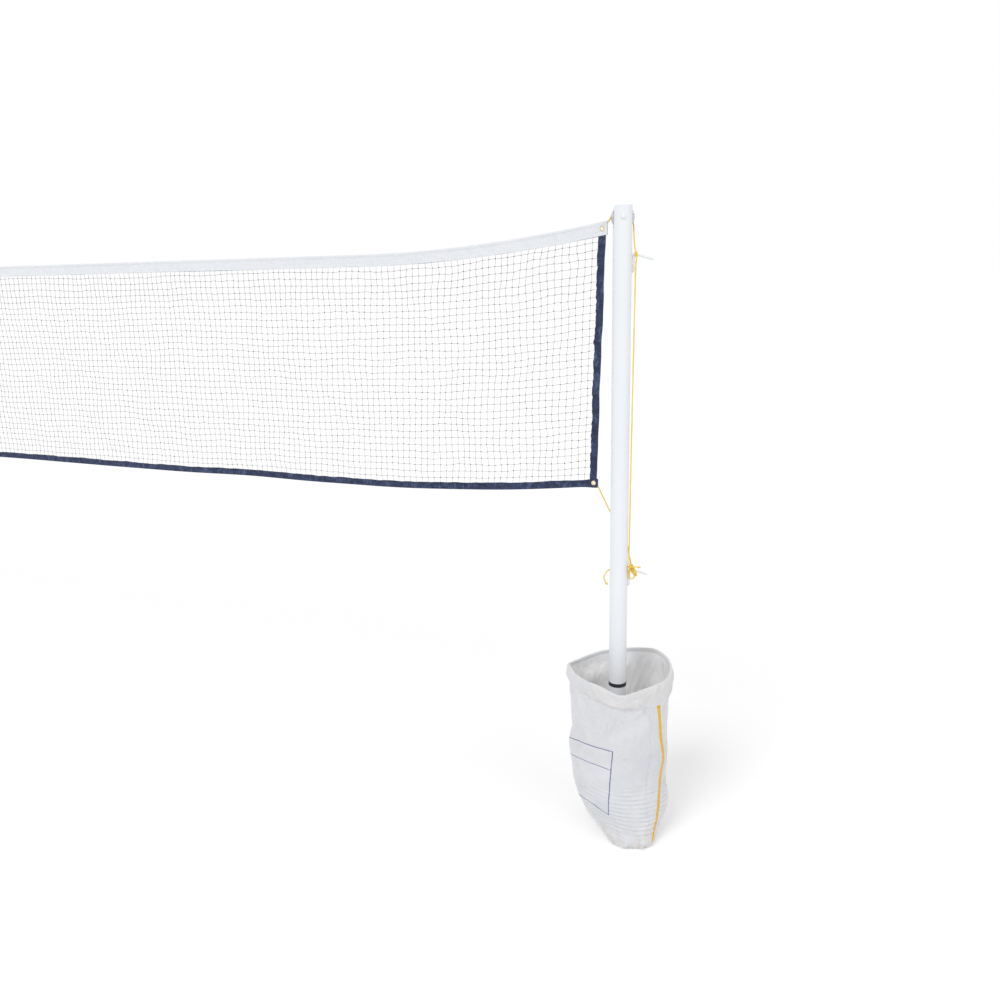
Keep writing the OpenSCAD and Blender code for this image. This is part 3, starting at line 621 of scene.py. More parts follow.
def line_end(depth):
    """Where a line leaves the net's corner, and its direction there, in the pole's frame and mm."""
    end = in_pole_frame([(half_at(depth) - 3.09) * 1000 + 0.1, 0, (NET_H - depth) * 1000])
    slope = sag_at(depth) * float(droop(0.056)) / 0.056
    way = in_pole_frame(np.array([1, 0, slope]) / math.hypot(1, slope))
    return end, way


def beside_arm(z, along, back, up):
    t = math.radians(DROOP_DEG)
    turn = math.radians(90 + DROOP_DEG)
    u0 = LEG_U + BEND_R - BEND_R * math.cos(turn)
    z0 = z + BEND_R * math.sin(turn) - BEND_R
    return np.array([u0 + along * math.cos(t) + up * math.sin(t), back,
                     z0 - along * math.sin(t) + up * math.cos(t)])


def turn_round(z, degrees, along, lean, across, high, lift=0):
    """A point of a turn round an arm; lean slants it from the root's top to under the arm's middle."""
    c, s = math.cos(math.radians(degrees)), math.sin(math.radians(degrees))
    return beside_arm(z, along - lean * s, across * c, high * s + lift)


def halyard_points():
    zw, zu, zl = WHEEL_Z * 1000, UPPER_Z * 1000, LOWER_Z * 1000
    end, way = line_end(LINE_DEPTH)
    pts = [end, end + 1.5 * way, (-34.2, 5.2, zw - 2.8), (-31.0, 2.6, zw + 4.6)]
    pts += [(28.3 * math.cos(math.radians(a)), 0, zw + 28.3 * math.sin(math.radians(a)))
            for a in range(146, -16, -12)]
    pts += [(30.2, -0.5, zw - 24), (31.0, -1.8, zw - 40), (33.2, -4.6, zu + 24), (35.0, -6.2, zu + 9)]
    # once round the upper arm, tight against its root
    pts += [turn_round(zu, a, -2.0 + 4.3 * (a - 180) / 360, 2.4, 6.0, 6.0) for a in range(180, 541, 20)]
    pts += [(39.2, -7.5, zu - 9), (37.8, -7.9, zu - 20), (36.6, -7.6, zu - 46)]
    span = np.linspace(0, 1, 16)[1:-1]
    top, low = np.array((36.6, -7.6, zu - 46)), np.array((30.2, -7.4, zl + 94))
    pts += [top + (low - top) * s + np.array([-0.6, -0.9, 0]) * math.sin(math.pi * s) for s in span]
    pts += [low, (29.4, -7.8, zl + 50), (29.6, -8.6, zl + 28), (32.4, -8.6, zl + 11)]
    # two slanting turns outwards, then two and a half back over them
    pts += [turn_round(zl, a, 2.5 + 5.5 * (a - 180) / 360, HITCH_LEAN, 6.3, 6.4) for a in range(180, 901, 20)]
    for a in range(920, 1801, 20):
        grow = min(1, (a - 900) / 80)
        pts.append(turn_round(zl, a, 13.5 - 5.3 * (a - 900) / 360, HITCH_LEAN + 2.5 * grow,
                              6.3 + 4.1 * grow, 6.4 + 4.1 * grow))
    pts += [(35.6, 15, zl - 3), (31.5, 22, zl + 1), (22, 28.6, zl + 5)]
    pts += [(29.6 * math.cos(math.radians(a)), 29.6 * math.sin(math.radians(a)), zl + 7 - (a - 75) / 6.8)
            for a in range(75, 151, 15)]
    pts += [(-33, 14, zl - 8.5), (-39.6, 12, zl - 16.5), (-43.6, 11, zl - 26.5), (-42, 10, zl - 36.5),
            (-37.5, 9, zl - 45), (-32.8, 8.5, zl - 50)]
    return np.array([np.asarray(p, float) for p in pts]) * MM


def foot_cord_points():
    zl = LOWER_Z * 1000
    end, way = line_end(NET_DEPTH - LINE_DEPTH)
    end = end + np.array([0, 0, -4.5])
    behind = [(29.6 * math.cos(math.radians(a)), 29.6 * math.sin(math.radians(a)),
               zl + 49 + a - 16 * (a - 19) / 77) for a in np.arange(96, 19, -9.5)]
    pts = [end + (np.array(behind[0]) - end) * t for t in (0, 0.08, 0.3, 0.55, 0.8)] + behind
    pts += [(33, 11, zl + 38), (36.6, 12.6, zl + 24), (39.2, 14, zl + 10)]
    # slanting turns over the halyard's
    pts += [turn_round(zl, a, 2.0 - 5.5 * a / 360, 13, 14.4, 15.2, 1) for a in range(0, -621, -20)]
    # slanting down over them all, a low loop back to the pole, up beside it and out to the bare end
    pts += [(36.4, -9.4, zl + 19.5), (31.6, -13.6, zl + 13.5), (32.2, -16.6, zl + 5.5), (36.4, -18.0, zl - 1.5),
            (41.6, -18.0, zl - 8), (45.6, -15.4, zl - 14.5), (45.6, -11.4, zl - 21), (41, -9.8, zl - 25.5),
            (35.6, -10.2, zl - 25.5), (31, -11.4, zl - 20.5), (28.4, -12.8, zl - 12), (27.8, -13.8, zl - 2),
            (28.6, -16.4, zl + 7), (32.4, -20.0, zl + 14), (39, -21.2, zl + 16.5), (47, -19.4, zl + 15),
            (55.4, -16.2, zl + 13), (64, -13, zl + 11.5)]
    return np.array([np.asarray(p, float) for p in pts]) * MM


CORD_MAT = cord_material()


def make_cords(side):
    made = []
    for name, points, nodes in (("halyard_cord", halyard_points(), ("halyard", "halyard_hitch")),
                                ("foot_tie_cord", foot_cord_points(), ("foot_cord", "foot_hitch"))):
        path = resample(spline(to_side(turned_right(points), side)), 0.0011)
        n = len(path)
        d = np.arange(n) * 0.0011
        tail = d[-1] - d
        swell = 1 + 0.02 * np.sin(d / 0.019) + 0.5 * bell(tail - 0.003, 0.0035)
        ob = tube(f"{name}_{side}", path, CORD_R, CORD_MAT, sides=16, swell=swell, braid=0.07)
        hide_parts(*(f"{k}_{side}" for k in nodes))
        made.append(ob)
    return made


for where in ("right", "left"):
    make_cords(where)


# ---------------------------------------------------------------- net

TWINE_R = 0.0004
net_wave = waves(3, 9, 0.35, 1.8, lean=(1, 0.6))
warp_x, warp_z = waves(11, 14, 0.12, 0.7), waves(12, 14, 0.12, 0.7)


def net_at(x, d):
    """A point of the net at x along it and depth d below its top edge."""
    half = half_at(d)
    # the tie pulls the lower corners down a little
    pull = 0.005 * bell(np.maximum(half - np.abs(x), 0), 0.032) * bell(np.maximum(NET_DEPTH - d, 0), 0.013)
    z = NET_H - d - sag_at(d) * droop(half - np.abs(x)) - pull
    y = 0.006 * net_wave(x, d) * smooth_step(half - np.abs(x), 0.06, 0.5)
    return np.stack(np.broadcast_arrays(x, y, z), -1)


def twine_tubes(name, lines, radius, mat):
    """Many thin three-sided tubes in one piece: lines is (count, points, 3)."""
    t = np.gradient(lines, axis=1)
    t /= np.linalg.norm(t, axis=2, keepdims=True)
    across = np.cross(t, np.array([0, 1.0, 0]))
    across /= np.linalg.norm(across, axis=2, keepdims=True)
    out = np.cross(t, across)
    th = np.radians([90, 210, 330])
    ring = lines[:, :, None] + radius * (np.cos(th)[None, None, :, None] * across[:, :, None]
                                         + np.sin(th)[None, None, :, None] * out[:, :, None])
    count, n = lines.shape[:2]
    one = grid_faces(n, 3, wrap_cols=True)
    faces = (one[None] + (np.arange(count) * n * 3)[:, None, None]).reshape(-1, 4)
    return mesh_piece(name, ring.reshape(-1, 3), faces, mat)


def make_net():
    g = np.random.default_rng(41)
    cols, rows = 286, 34
    i, j = np.linspace(-1, 1, cols), np.linspace(0.030, 0.743, rows)
    s, d = np.meshgrid(i, j, indexing="ij")
    half = half_at(d) - 0.0215
    x = s * half
    free = np.minimum(smooth_step(np.minimum(np.arange(cols), np.arange(cols)[::-1]), 0, 3)[:, None],
                      smooth_step(np.minimum(np.arange(rows) + 0.6, np.arange(rows)[::-1]), 0, 2)[None])
    dx = 0.0042 * warp_x(x, d) + g.normal(0, 0.0009, x.shape)
    dd = 0.0036 * warp_z(x, d) + g.normal(0, 0.0008, x.shape)
    knots = net_at(x + dx * free, d + dd * free)
    knots[..., 1] += g.normal(0, 0.0008, x.shape) * free
    mat = twine_material()

    def with_middles(a, sag):
        mid = (a[:, :-1] + a[:, 1:]) / 2
        mid = mid + g.normal(0, 1, mid.shape) * np.array(sag) + np.array([0, 0, -0.0004])
        out = np.empty((a.shape[0], a.shape[1] * 2 - 1, 3))
        out[:, ::2], out[:, 1::2] = a, mid
        return out

    down = with_middles(knots, (0.0006, 0.0005, 0))
    level = with_middles(knots.transpose(1, 0, 2), (0, 0.0005, 0.0006))
    # the first and last rows lie flat between the tapes' layers
    level[[0, -1], 1::2, 1] = (level[[0, -1], :-1:2, 1] + level[[0, -1], 2::2, 1]) / 2
    made = [twine_tubes("net_columns", down, TWINE_R, mat), twine_tubes("net_rows", level, TWINE_R, mat)]
    phi = (1 + 5 ** 0.5) / 2
    ico = np.array([(-1, phi, 0), (1, phi, 0), (-1, -phi, 0), (1, -phi, 0), (0, -1, phi), (0, 1, phi),
                    (0, -1, -phi), (0, 1, -phi), (phi, 0, -1), (phi, 0, 1), (-phi, 0, -1), (-phi, 0, 1)])
    ico = ico / np.linalg.norm(ico[0])
    tri = np.array([(0, 11, 5), (0, 5, 1), (0, 1, 7), (0, 7, 10), (0, 10, 11), (1, 5, 9), (5, 11, 4),
                    (11, 10, 2), (10, 7, 6), (7, 1, 8), (3, 9, 4), (3, 4, 2), (3, 2, 6), (3, 6, 8),
                    (3, 8, 9), (4, 9, 5), (2, 4, 11), (6, 2, 10), (8, 6, 7), (9, 8, 1)])
    inner = knots[1:-1, 1:-1].reshape(-1, 3)
    size = g.uniform(0.85, 1.15, (len(inner), 1, 1)) * np.array([0.0019, 0.0014, 0.0016])
    turn = g.uniform(-0.7, 0.7, len(inner))
    c, sn = np.cos(turn)[:, None], np.sin(turn)[:, None]
    p = ico[None] * size
    p = np.stack([p[..., 0] * c - p[..., 2] * sn, p[..., 1], p[..., 0] * sn + p[..., 2] * c], -1)
    verts = (inner[:, None] + p).reshape(-1, 3)
    faces = (tri[None] + (np.arange(len(inner)) * 12)[:, None, None]).reshape(-1, 3)
    made.append(mesh_piece("net_knots", verts, faces, mat))
    for ob in made:
        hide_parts("net_mesh")
    return made


net_pieces = make_net()


# ---------------------------------------------------------------- tapes

# tape colours: painted crease shade, lit tape, and a pale colour for random patches, the weave and the painted fold
# highlights
WHITE_TAPE = tape_material("white_canvas_tape", (0.82, 0.84, 0.88), (0.86, 0.88, 0.915), (0.89, 0.905, 0.93), 0.62)
NAVY_TAPE = tape_material("navy_tape", (0.022, 0.03, 0.066), (0.046, 0.06, 0.125), (0.12, 0.165, 0.29), 0.66, 0.6)
WHITE_THREAD = tape_material("white_thread", (0.66, 0.67, 0.7), (0.8, 0.81, 0.83), (0.86, 0.865, 0.87), 0.6)
NAVY_THREAD = tape_material("navy_thread", (0.03, 0.035, 0.06), (0.075, 0.085, 0.13), (0.15, 0.16, 0.2), 0.6)


def fold_profile(width, bead=True):
    """The folded tape's section: outer points from front edge over the fold to back edge, then the
    inner ones back. Each point is (y, depth from the fold), in metres."""
    half = [(1.9, width - 0.2), (2.0, width - 1.2), (1.9, width - 3.6), (1.45, width - 4.6)]
    low = 10.5 if bead else 5.0
    n = max(3, int((width - 5 - low) / 4))
    half += [(1.35, d) for d in np.linspace(width - 6, low, n)]
    half += ([(1.7, 8.6), (2.35, 7.0), (2.85, 5.4), (3.0, 3.6), (2.75, 2.0), (2.05, 0.7), (1.1, 0.05)]
             if bead else [(1.4, 3.4), (1.45, 2.0), (1.25, 0.9), (0.75, 0.2)])
    inner = []
    for y, d in half:
        if d > low - 0.1:
            inner.append((max(y - 0.65, 0.66), min(d, width - 0.2)))
        elif bead:
            k = math.hypot(y, d - 3.4)
            inner.append((y * (1 - 0.6 / k), 3.4 + (d - 3.4) * (1 - 0.6 / k)))
        else:
            inner.append((y - 0.6, max(d, 0.75)))
    outer = [(-y, d) for y, d in half] + [(0.0, -0.1 if bead else 0.0)] + half[::-1]
    back = [(y, d) for y, d in inner] + [(0.0, 0.55 if bead else 0.75)] + [(-y, d) for y, d in inner[::-1]]
    return np.array(outer) * MM, np.array(back) * MM


def along_tape(half, wide, fine=0.0015, coarse=0.0105):
    ends = np.arange(0, wide, fine)
    mid = np.linspace(-half + wide, half - wide, int((2 * half - 2 * wide) / coarse))
    return np.concatenate([-half + ends, mid, half - ends[::-1]]) / half


def stitch_rows(name, starts, ends, outs, slot, mat):
    """Single stitches as little lozenges; starts and ends are their two tips, outs the way they stand."""
    mid = (starts + ends) / 2
    lift = outs * 0.00022
    wide = np.cross(ends - starts, outs)
    wide = wide / np.linalg.norm(wide, axis=1, keepdims=True) * 0.00028
    verts = np.stack([starts - lift, ends - lift, mid + lift, mid - lift, mid + wide, mid - wide], 1)
    tri = np.array([(0, 4, 2), (4, 1, 2), (1, 5, 2), (5, 0, 2), (4, 0, 3), (1, 4, 3), (5, 1, 3), (0, 5, 3)])
    faces = (tri[None] + (np.arange(len(verts)) * 6)[:, None, None]).reshape(-1, 3)
    return mesh_piece(name, verts.reshape(-1, 3), faces, mat)


def cut_eyelets(ob, places):
    """Round holes for the eyelets' barrels."""
    for k, (x, z) in enumerate(places):
        n = 40
        th = np.arange(n) / n * TAU
        ring = np.stack([x + 0.00462 * np.cos(th), np.zeros(n), z + 0.00462 * np.sin(th)], -1)
        verts = np.vstack([ring + [0, -0.02, 0], ring + [0, 0.02, 0]])
        me = bpy.data.meshes.new("cutter")
        faces = [[(i + 1) % n, i, n + i, n + (i + 1) % n] for i in range(n)]
        faces += [list(range(n)), list(range(n, 2 * n))[::-1]]
        me.from_pydata(verts.tolist(), [], faces)
        cutter = bpy.data.objects.new("cutter", me)
        bpy.context.scene.collection.objects.link(cutter)
        mod = ob.modifiers.new("eyelet", "BOOLEAN")
        mod.operation, mod.object, mod.solver = "DIFFERENCE", cutter, "EXACT"
        bpy.context.view_layer.update()
        result = bpy.data.meshes.new_from_object(ob.evaluated_get(bpy.context.evaluated_depsgraph_get()))
        ob.modifiers.clear()
        old = ob.data
        ob.data = result
        bpy.data.meshes.remove(old)
        bpy.data.objects.remove(cutter)


def long_tape(name, low_side, width, slot, mat, thread, seed, node, eyelets):
    """The top tape folds over the headline; the bottom tape folds under the foot line."""
    outer, inner = fold_profile(width)
    prof = np.vstack([outer, inner])
    y, d = prof[:, 0], prof[:, 1]
    d = NET_DEPTH - d if low_side else d
    s = along_tape(half_at(0.0), 0.07)
    S, D = np.meshgrid(s, d, indexing="ij")
    Y = np.broadcast_to(y, S.shape).copy()
    X = S * half_at(D)
    from_end = half_at(D) - np.abs(X)
    edge = np.abs(np.broadcast_to(prof[:, 1], S.shape)) / (width * MM)
    w1, w2, w3 = waves(seed, 12, 0.012, 0.09, lean=(1, 0.7)), waves(seed + 1, 10, 0.05, 0.4), waves(seed + 2, 12, 0.006, 0.03)
    side_sign = np.sign(np.where(np.abs(Y) < 1e-5, 0, Y))
    calm = smooth_step(np.hypot(from_end - 0.016, np.broadcast_to(prof[:, 1], S.shape) - width * MM / 2), 0.006, 0.014)
    puffy, wavy = (0.0011, 0.0017) if low_side else (0.00055, 0.0009)
    puff = (puffy * np.abs(w1(X, D + side_sign)) + 0.0002 * w3(X, D + side_sign)) * smooth_step(edge, 0.15, 0.5) * calm
    Y += side_sign * np.clip(puff, -0.0001, 0.0022)
    Y += 0.0005 * w2(X, D * 0.3) * smooth_step(edge, 0.2, 1) * calm
    patch = (from_end < 0.045) & (edge > 0.12)
    Y += side_sign * np.where(patch & (np.abs(Y) > 0.0009), 0.00035, 0)
    D2 = D + wavy * w2(X + 5, D * 0 + side_sign) * smooth_step(edge, 0.7, 1) * calm * (1 if not low_side else -1)
    P = net_at(X, D2)
    P[..., 1] += Y
    n, m = S.shape
    faces = grid_faces(n, m, wrap_cols=True)
    if low_side:
        faces = faces[:, ::-1]
    k, h = np.arange(len(outer) - 1), m
    back = m - 1 - k
    caps = np.concatenate([np.stack([k, k + 1, back - 1, back], -1),
                           (np.stack([k, k + 1, back - 1, back], -1) + (n - 1) * m)[:, ::-1]])
    if low_side:
        caps = caps[:, ::-1]
    ob = mesh_piece(name, P.reshape(-1, 3), faces, mat, more=[caps])
    cut_eyelets(ob, eyelets)
    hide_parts(node)
    # stitches: one row beside the rope, one along the hem, on both faces
    g = np.random.default_rng(seed)
    rows = []
    for depth, out_y in ((9.6, 1.55), (width - 2.6, 2.05)):
        dd = NET_DEPTH - depth * MM if low_side else depth * MM
        half = float(half_at(dd)) - 0.003
        a = np.arange(-half, half - 0.004, 0.0041)
        for face in (-1, 1):
            p0, p1 = net_at(a, np.full_like(a, dd)), net_at(a + 0.0031, np.full_like(a, dd))
            mid_x = np.abs(a) + 0.0015
            lift = np.zeros_like(a)
            for idx in (0,):
                fe = half_at(dd) - mid_x
                sf = np.full_like(a, float(face))
                ed = np.full_like(a, depth / width)
                cm = smooth_step(np.hypot(fe - 0.016, depth * MM - width * MM / 2), 0.006, 0.014)
                pf = (puffy * np.abs(w1(a, dd + sf)) + 0.0002 * w3(a, dd + sf)) * smooth_step(ed, 0.15, 0.5) * cm
                lift = np.clip(pf, -0.0001, 0.0022) * face + 0.0005 * w2(a, dd * 0.3) * smooth_step(ed, 0.2, 1) * cm
                lift += np.where(fe < 0.045, 0.00035, 0) * face
            for p in (p0, p1):
                p[:, 1] += face * out_y * MM + lift
                p[:, 2] += g.normal(0, 0.00012, len(a))
            rows.append((p0, p1, np.tile([0, float(face), 0], (len(a), 1))))
    st = stitch_rows(name + "_stitches", *(np.vstack([r[i] for r in rows]) for i in range(3)), slot, thread)
    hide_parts(node)
    return ob, st


def side_tape(side, seed):
    """The dark tape round the net's side edge, folded, creased and a little slack."""
    outer, inner = fold_profile(22.0, bead=False)
    prof = np.vstack([outer, inner])
    y, inset = prof[:, 0], prof[:, 1] + 0.004
    d = np.concatenate([np.arange(0.0275, 0.06, 0.003), np.linspace(0.06, 0.742, 212)])
    Dd, IN = np.meshgrid(d, inset, indexing="ij")
    # its ends go in between the long tapes' layers
    Y = np.broadcast_to(y, Dd.shape) * (0.34 + 0.48 * smooth_step(Dd, 0.037, 0.043) * smooth_step(0.740 - Dd, 0, 0.006))
    edge = (IN - 0.004) / 0.022
    w1, w2, w3 = waves(seed, 14, 0.01, 0.06, lean=(0.7, 1)), waves(seed + 1, 8, 0.04, 0.25), waves(seed + 2, 8, 0.03, 0.2)
    sg = np.sign(np.where(np.abs(Y) < 1e-5, 0, Y))
    hold = smooth_step(np.minimum(Dd - 0.036, 0.7365 - Dd), 0.0, 0.03)
    Y += sg * np.clip(0.0014 * np.abs(w1(IN, Dd + sg)), 0, 0.0024) * smooth_step(edge, 0.1, 0.5) * hold
    Y += 0.0006 * w2(IN * 0.3, Dd) * (0.3 + edge) * hold
    IN2 = IN + (0.0013 * w3(IN * 0, Dd) + 0.0015 * w1(IN * 0 + 3, Dd) * edge) * hold
    X = half_at(Dd) - IN2
    P = net_at(X, Dd)
    P[..., 1] += Y
    n, m = Dd.shape
    faces = grid_faces(n, m, wrap_cols=True)
    k = np.arange(len(outer) - 1)
    back = m - 1 - k
    caps = np.concatenate([np.stack([k, k + 1, back - 1, back], -1),
                           (np.stack([k, k + 1, back - 1, back], -1) + (n - 1) * m)[:, ::-1]])
    if side == "left":
        P[..., 0] *= -1
        P[..., 1] *= -1
    ob = mesh_piece(f"edge_tape_{side}", P.reshape(-1, 3), faces[:, ::-1], NAVY_TAPE, more=[caps[:, ::-1]])
    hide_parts(f"side_tape_{side}")
    cols = [int(np.argmin(np.abs(prof[:len(outer), 1] * 1000 - q) + (0 if f < 0 else 1) * (prof[:len(outer), 0] < 0) * 9
                          + (0 if f > 0 else 1) * (prof[:len(outer), 0] > 0) * 9))
            for q in (18.6, 4.5) for f in (-1, 1)]
    rows = []
    for c, f in zip(cols, (-1, 1, -1, 1)):
        line = P[:, c]
        t = np.arange(0.006, 0.700, 0.0041)
        dist = np.concatenate([[0], np.cumsum(np.linalg.norm(np.diff(line, axis=0), axis=1))])
        at = lambda q: np.stack([np.interp(q, dist, line[:, a]) for a in range(3)], -1)
        f2 = f if side == "right" else -f
        off = np.array([0, f2 * 0.0001, 0])
        rows.append((at(t) + off, at(t + 0.0031) + off, np.tile([0.0, float(f2), 0], (len(t), 1))))
    st = stitch_rows(f"edge_tape_stitches_{side}", *(np.vstack([r[i] for r in rows]) for i in range(3)),
                     "navy_tape", NAVY_THREAD)
    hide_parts(f"side_tape_{side}")
    return ob, st


def line_rope(name, depth, node):
    """The rope inside a tape's fold."""
    s = np.linspace(-1, 1, 520)
    x = s * float(half_at(depth))
    path = net_at(x, np.full_like(x, depth))
    ob = tube(name, path, CORD_R, CORD_MAT, sides=10)
    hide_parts(node)
    return ob


TOP_EYE, LOW_EYE = (3.031375, 1.870315), (3.010362, 1.141346)
both = lambda p: [(p[0], p[1]), (-p[0], p[1])]
top_tape, top_stitches = long_tape("net_top_tape", False, 38.0, "white_tape", WHITE_TAPE, WHITE_THREAD, 60,
                                   "top_tape", both(TOP_EYE))
low_tape, low_stitches = long_tape("net_bottom_tape", True, 22.0, "navy_tape", NAVY_TAPE, NAVY_THREAD, 70,
                                   "bottom_tape", both(LOW_EYE))
head_rope = line_rope("headline_rope", LINE_DEPTH, "headline")
foot_rope = line_rope("foot_line_rope", NET_DEPTH - LINE_DEPTH, "foot_line")
right_tape, right_stitches = side_tape("right", 80)
left_tape, left_stitches = side_tape("left", 90)


# ---------------------------------------------------------------- sacks and sand

CUFF = spline(np.array([
    # outwards, below the rim, unused: the cuff from its lower roll over the rim to the inside, in mm
    (0.4, -45.0, 0), (1.4, -46.8, 0), (3.4, -48.4, 0), (6.0, -48.6, 0), (8.2, -46.8, 0), (9.3, -43.0, 0),
    (9.9, -37.0, 0), (10.0, -30.0, 0), (9.8, -23.0, 0), (9.3, -16.0, 0), (8.5, -10.0, 0), (7.2, -5.0, 0),
    (5.4, -1.9, 0), (3.2, -0.3, 0), (1.0, 0.0, 0), (-0.9, -1.2, 0), (-2.0, -3.6, 0), (-2.5, -7.5, 0),
]), per=3)[:, :2] * MM


def ridge(x, width):
    """A pinched fold: sharp on top and soft beside."""
    return 1 / (1 + (x / width) ** 2) ** 1.5


# angle and height where each fold starts under the cuff and where it ends, its size and width
FOLDS = ((-98, 0.50, -117, 0.355, 0.0060, 4.5), (-94, 0.50, -80, 0.36, 0.0052, 4.0),
         (-70, 0.49, -54, 0.385, 0.0040, 3.5), (-126, 0.52, -146, 0.40, 0.0042, 4.5),
         (-42, 0.49, -30, 0.35, 0.0036, 3.5), (-108, 0.44, -90, 0.30, 0.0030, 5.0),
         (-152, 0.50, -140, 0.36, 0.0032, 4.0))
# angle, how far the rim lies above the plain height, and the cuff's lower edge from it, in metres
RIM = np.array([
    (-180, 0.021, -0.022), (-168, 0.025, -0.019), (-153, 0.024, -0.016), (-138, 0.026, -0.014),
    (-124, 0.025, -0.020), (-110, 0.017, -0.032), (-103, 0.008, -0.035), (-95, -0.001, -0.038),
    (-88, 0.005, -0.041), (-79, 0.012, -0.042), (-66, 0.017, -0.044), (-53, 0.019, -0.049),
    (-37, 0.016, -0.054), (-15, 0.017, -0.054), (5, 0.020, -0.052), (22, 0.025, -0.050),
    (35, 0.025, -0.048), (47, 0.018, -0.046), (62, 0.006, -0.045), (78, -0.003, -0.045), (96, -0.007, -0.044),
    (112, -0.010, -0.042), (124, -0.014, -0.041), (142, -0.012, -0.040), (158, 0.000, -0.034), (172, 0.016, -0.026),
])


def rim_line(theta, column):
    """The rim's height or the cuff's lower edge at each angle, with its corners eased."""
    at = around(np.asarray(theta)[:, None] + np.linspace(-6, 6, 9)[None])
    return np.interp(at, RIM[:, 0], RIM[:, column], period=360).mean(1)


def lapped(field, theta, *rest):
    """A random field round the sack, eased so that it meets itself at the back."""
    arc = np.radians(theta) * 0.155
    near = smooth_step(theta, 40, 90)
    return field(arc, *rest) * (1 - near) + field(arc - TAU * 0.155, *rest) * near


def cloth_shape(theta, z, seed):
    """How far the cloth stands out of the plain bag at each angle and height, for both its faces.
    The angle runs from -270 to 90."""
    dents = waves(seed, 14, 0.07, 0.26)
    tilt = waves(seed + 1, 8, 0.10, 0.4)
    gate = waves(seed + 2, 12, 0.05, 0.16)
    fine = waves(seed + 3, 16, 0.012, 0.05)
    pleats = waves(seed + 4, 12, 0.014, 0.05, lean=(1, 0.25))
    out = 0.0026 * lapped(dents, theta, z) * smooth_step(z, 0.0, 0.06) * smooth_step(SACK_H - z, 0.0, 0.08)
    # the sand presses level creases into the lower half, mostly towards the front
    phase = (z + 0.0055 * lapped(tilt, theta, z * 0.5) + 0.010 * np.sin(np.radians(theta + 60))) / 0.0155
    saw = 1.9 * (np.abs(np.sin(math.pi * phase)) - 0.64) + 0.35 * np.sin(2 * TAU * phase + 0.7)
    towards = (0.30 + 0.70 * bell(around(theta + 45), 75)) * (1 - 0.6 * bell(around(theta + 45), 9))
    window = smooth_step(z, 0.012, 0.05) * smooth_step(0.245 - z, 0.0, 0.07)
    out += 0.0023 * saw * window * towards * np.clip(0.8 + 0.5 * lapped(gate, theta, z * 2.0), 0.15, 1.25)
    # cloth gathered under the cuff
    below = np.maximum(SACK_H - CUFF_H - z, 0)
    out += (0.0018 * lapped(pleats, theta, z * 0.5) * np.exp(-below / 0.06) * smooth_step(z, 0.3, 0.42)
            * smooth_step(0.54 - z, 0, 0.05))
    # long folds that drape from the cuff towards the front
    for a0, z0, a1, z1, size, width in FOLDS:
        t = (z - z0) / (z1 - z0)
        mid = a0 + (a1 - a0) * t
        off = around(theta - mid)
        out += size * (ridge(off, width) - 0.55 * bell(off - 2.4 * width, 1.6 * width)) \
            * smooth_step(t, -0.25, 0.15) * smooth_step(1.1 - t, 0, 0.7)
    # the two folded edges of the flat sack
    for edge in (CREASE_AT, CREASE_AT + 180):
        off = around(theta - edge + 8 * np.clip(1 - z / 0.3, 0, 1) - 1.2 * np.sin(z * 23))
        out += (0.0028 * ridge(off, 0.9) - 0.0012 * bell(off - 3.2, 2.2)) * smooth_step(SACK_H - 0.03 - z, 0, 0.05)
    # folds that fan up the back wall, and a soft hollow beside them
    back = around(theta)
    rise = np.clip((z - 0.33) / 0.22, 0, 1.1)
    for top, size, width in ((84, 0.0048, 2.6), (71, 0.0070, 3.6), (57, 0.0060, 3.0), (43, 0.0068, 3.8), (27, 0.0050, 3.4)):
        mid = 92 - (92 - top) * (0.3 + 0.7 * rise)
        out -= size * ridge(back - mid, width) * smooth_step(z, 0.33, 0.40) * smooth_step(SACK_H - z, 0.002, 0.05)
    out -= 0.0085 * bell(back - 128, 26) * bell(z - 0.465, 0.035)
    out += 0.0045 * bell(back - 140, 20) * bell(z - 0.40, 0.03)
    # crumpled foot
    out += lapped(fine, theta, z) * (0.0022 * smooth_step(0.04 - z, 0, 0.035) + 0.0003)
    # the corner of the rim at the net's side
    out += 0.003 * ridge(around(theta - 178), 7) * smooth_step(z, 0.40, SACK_H)
    return out


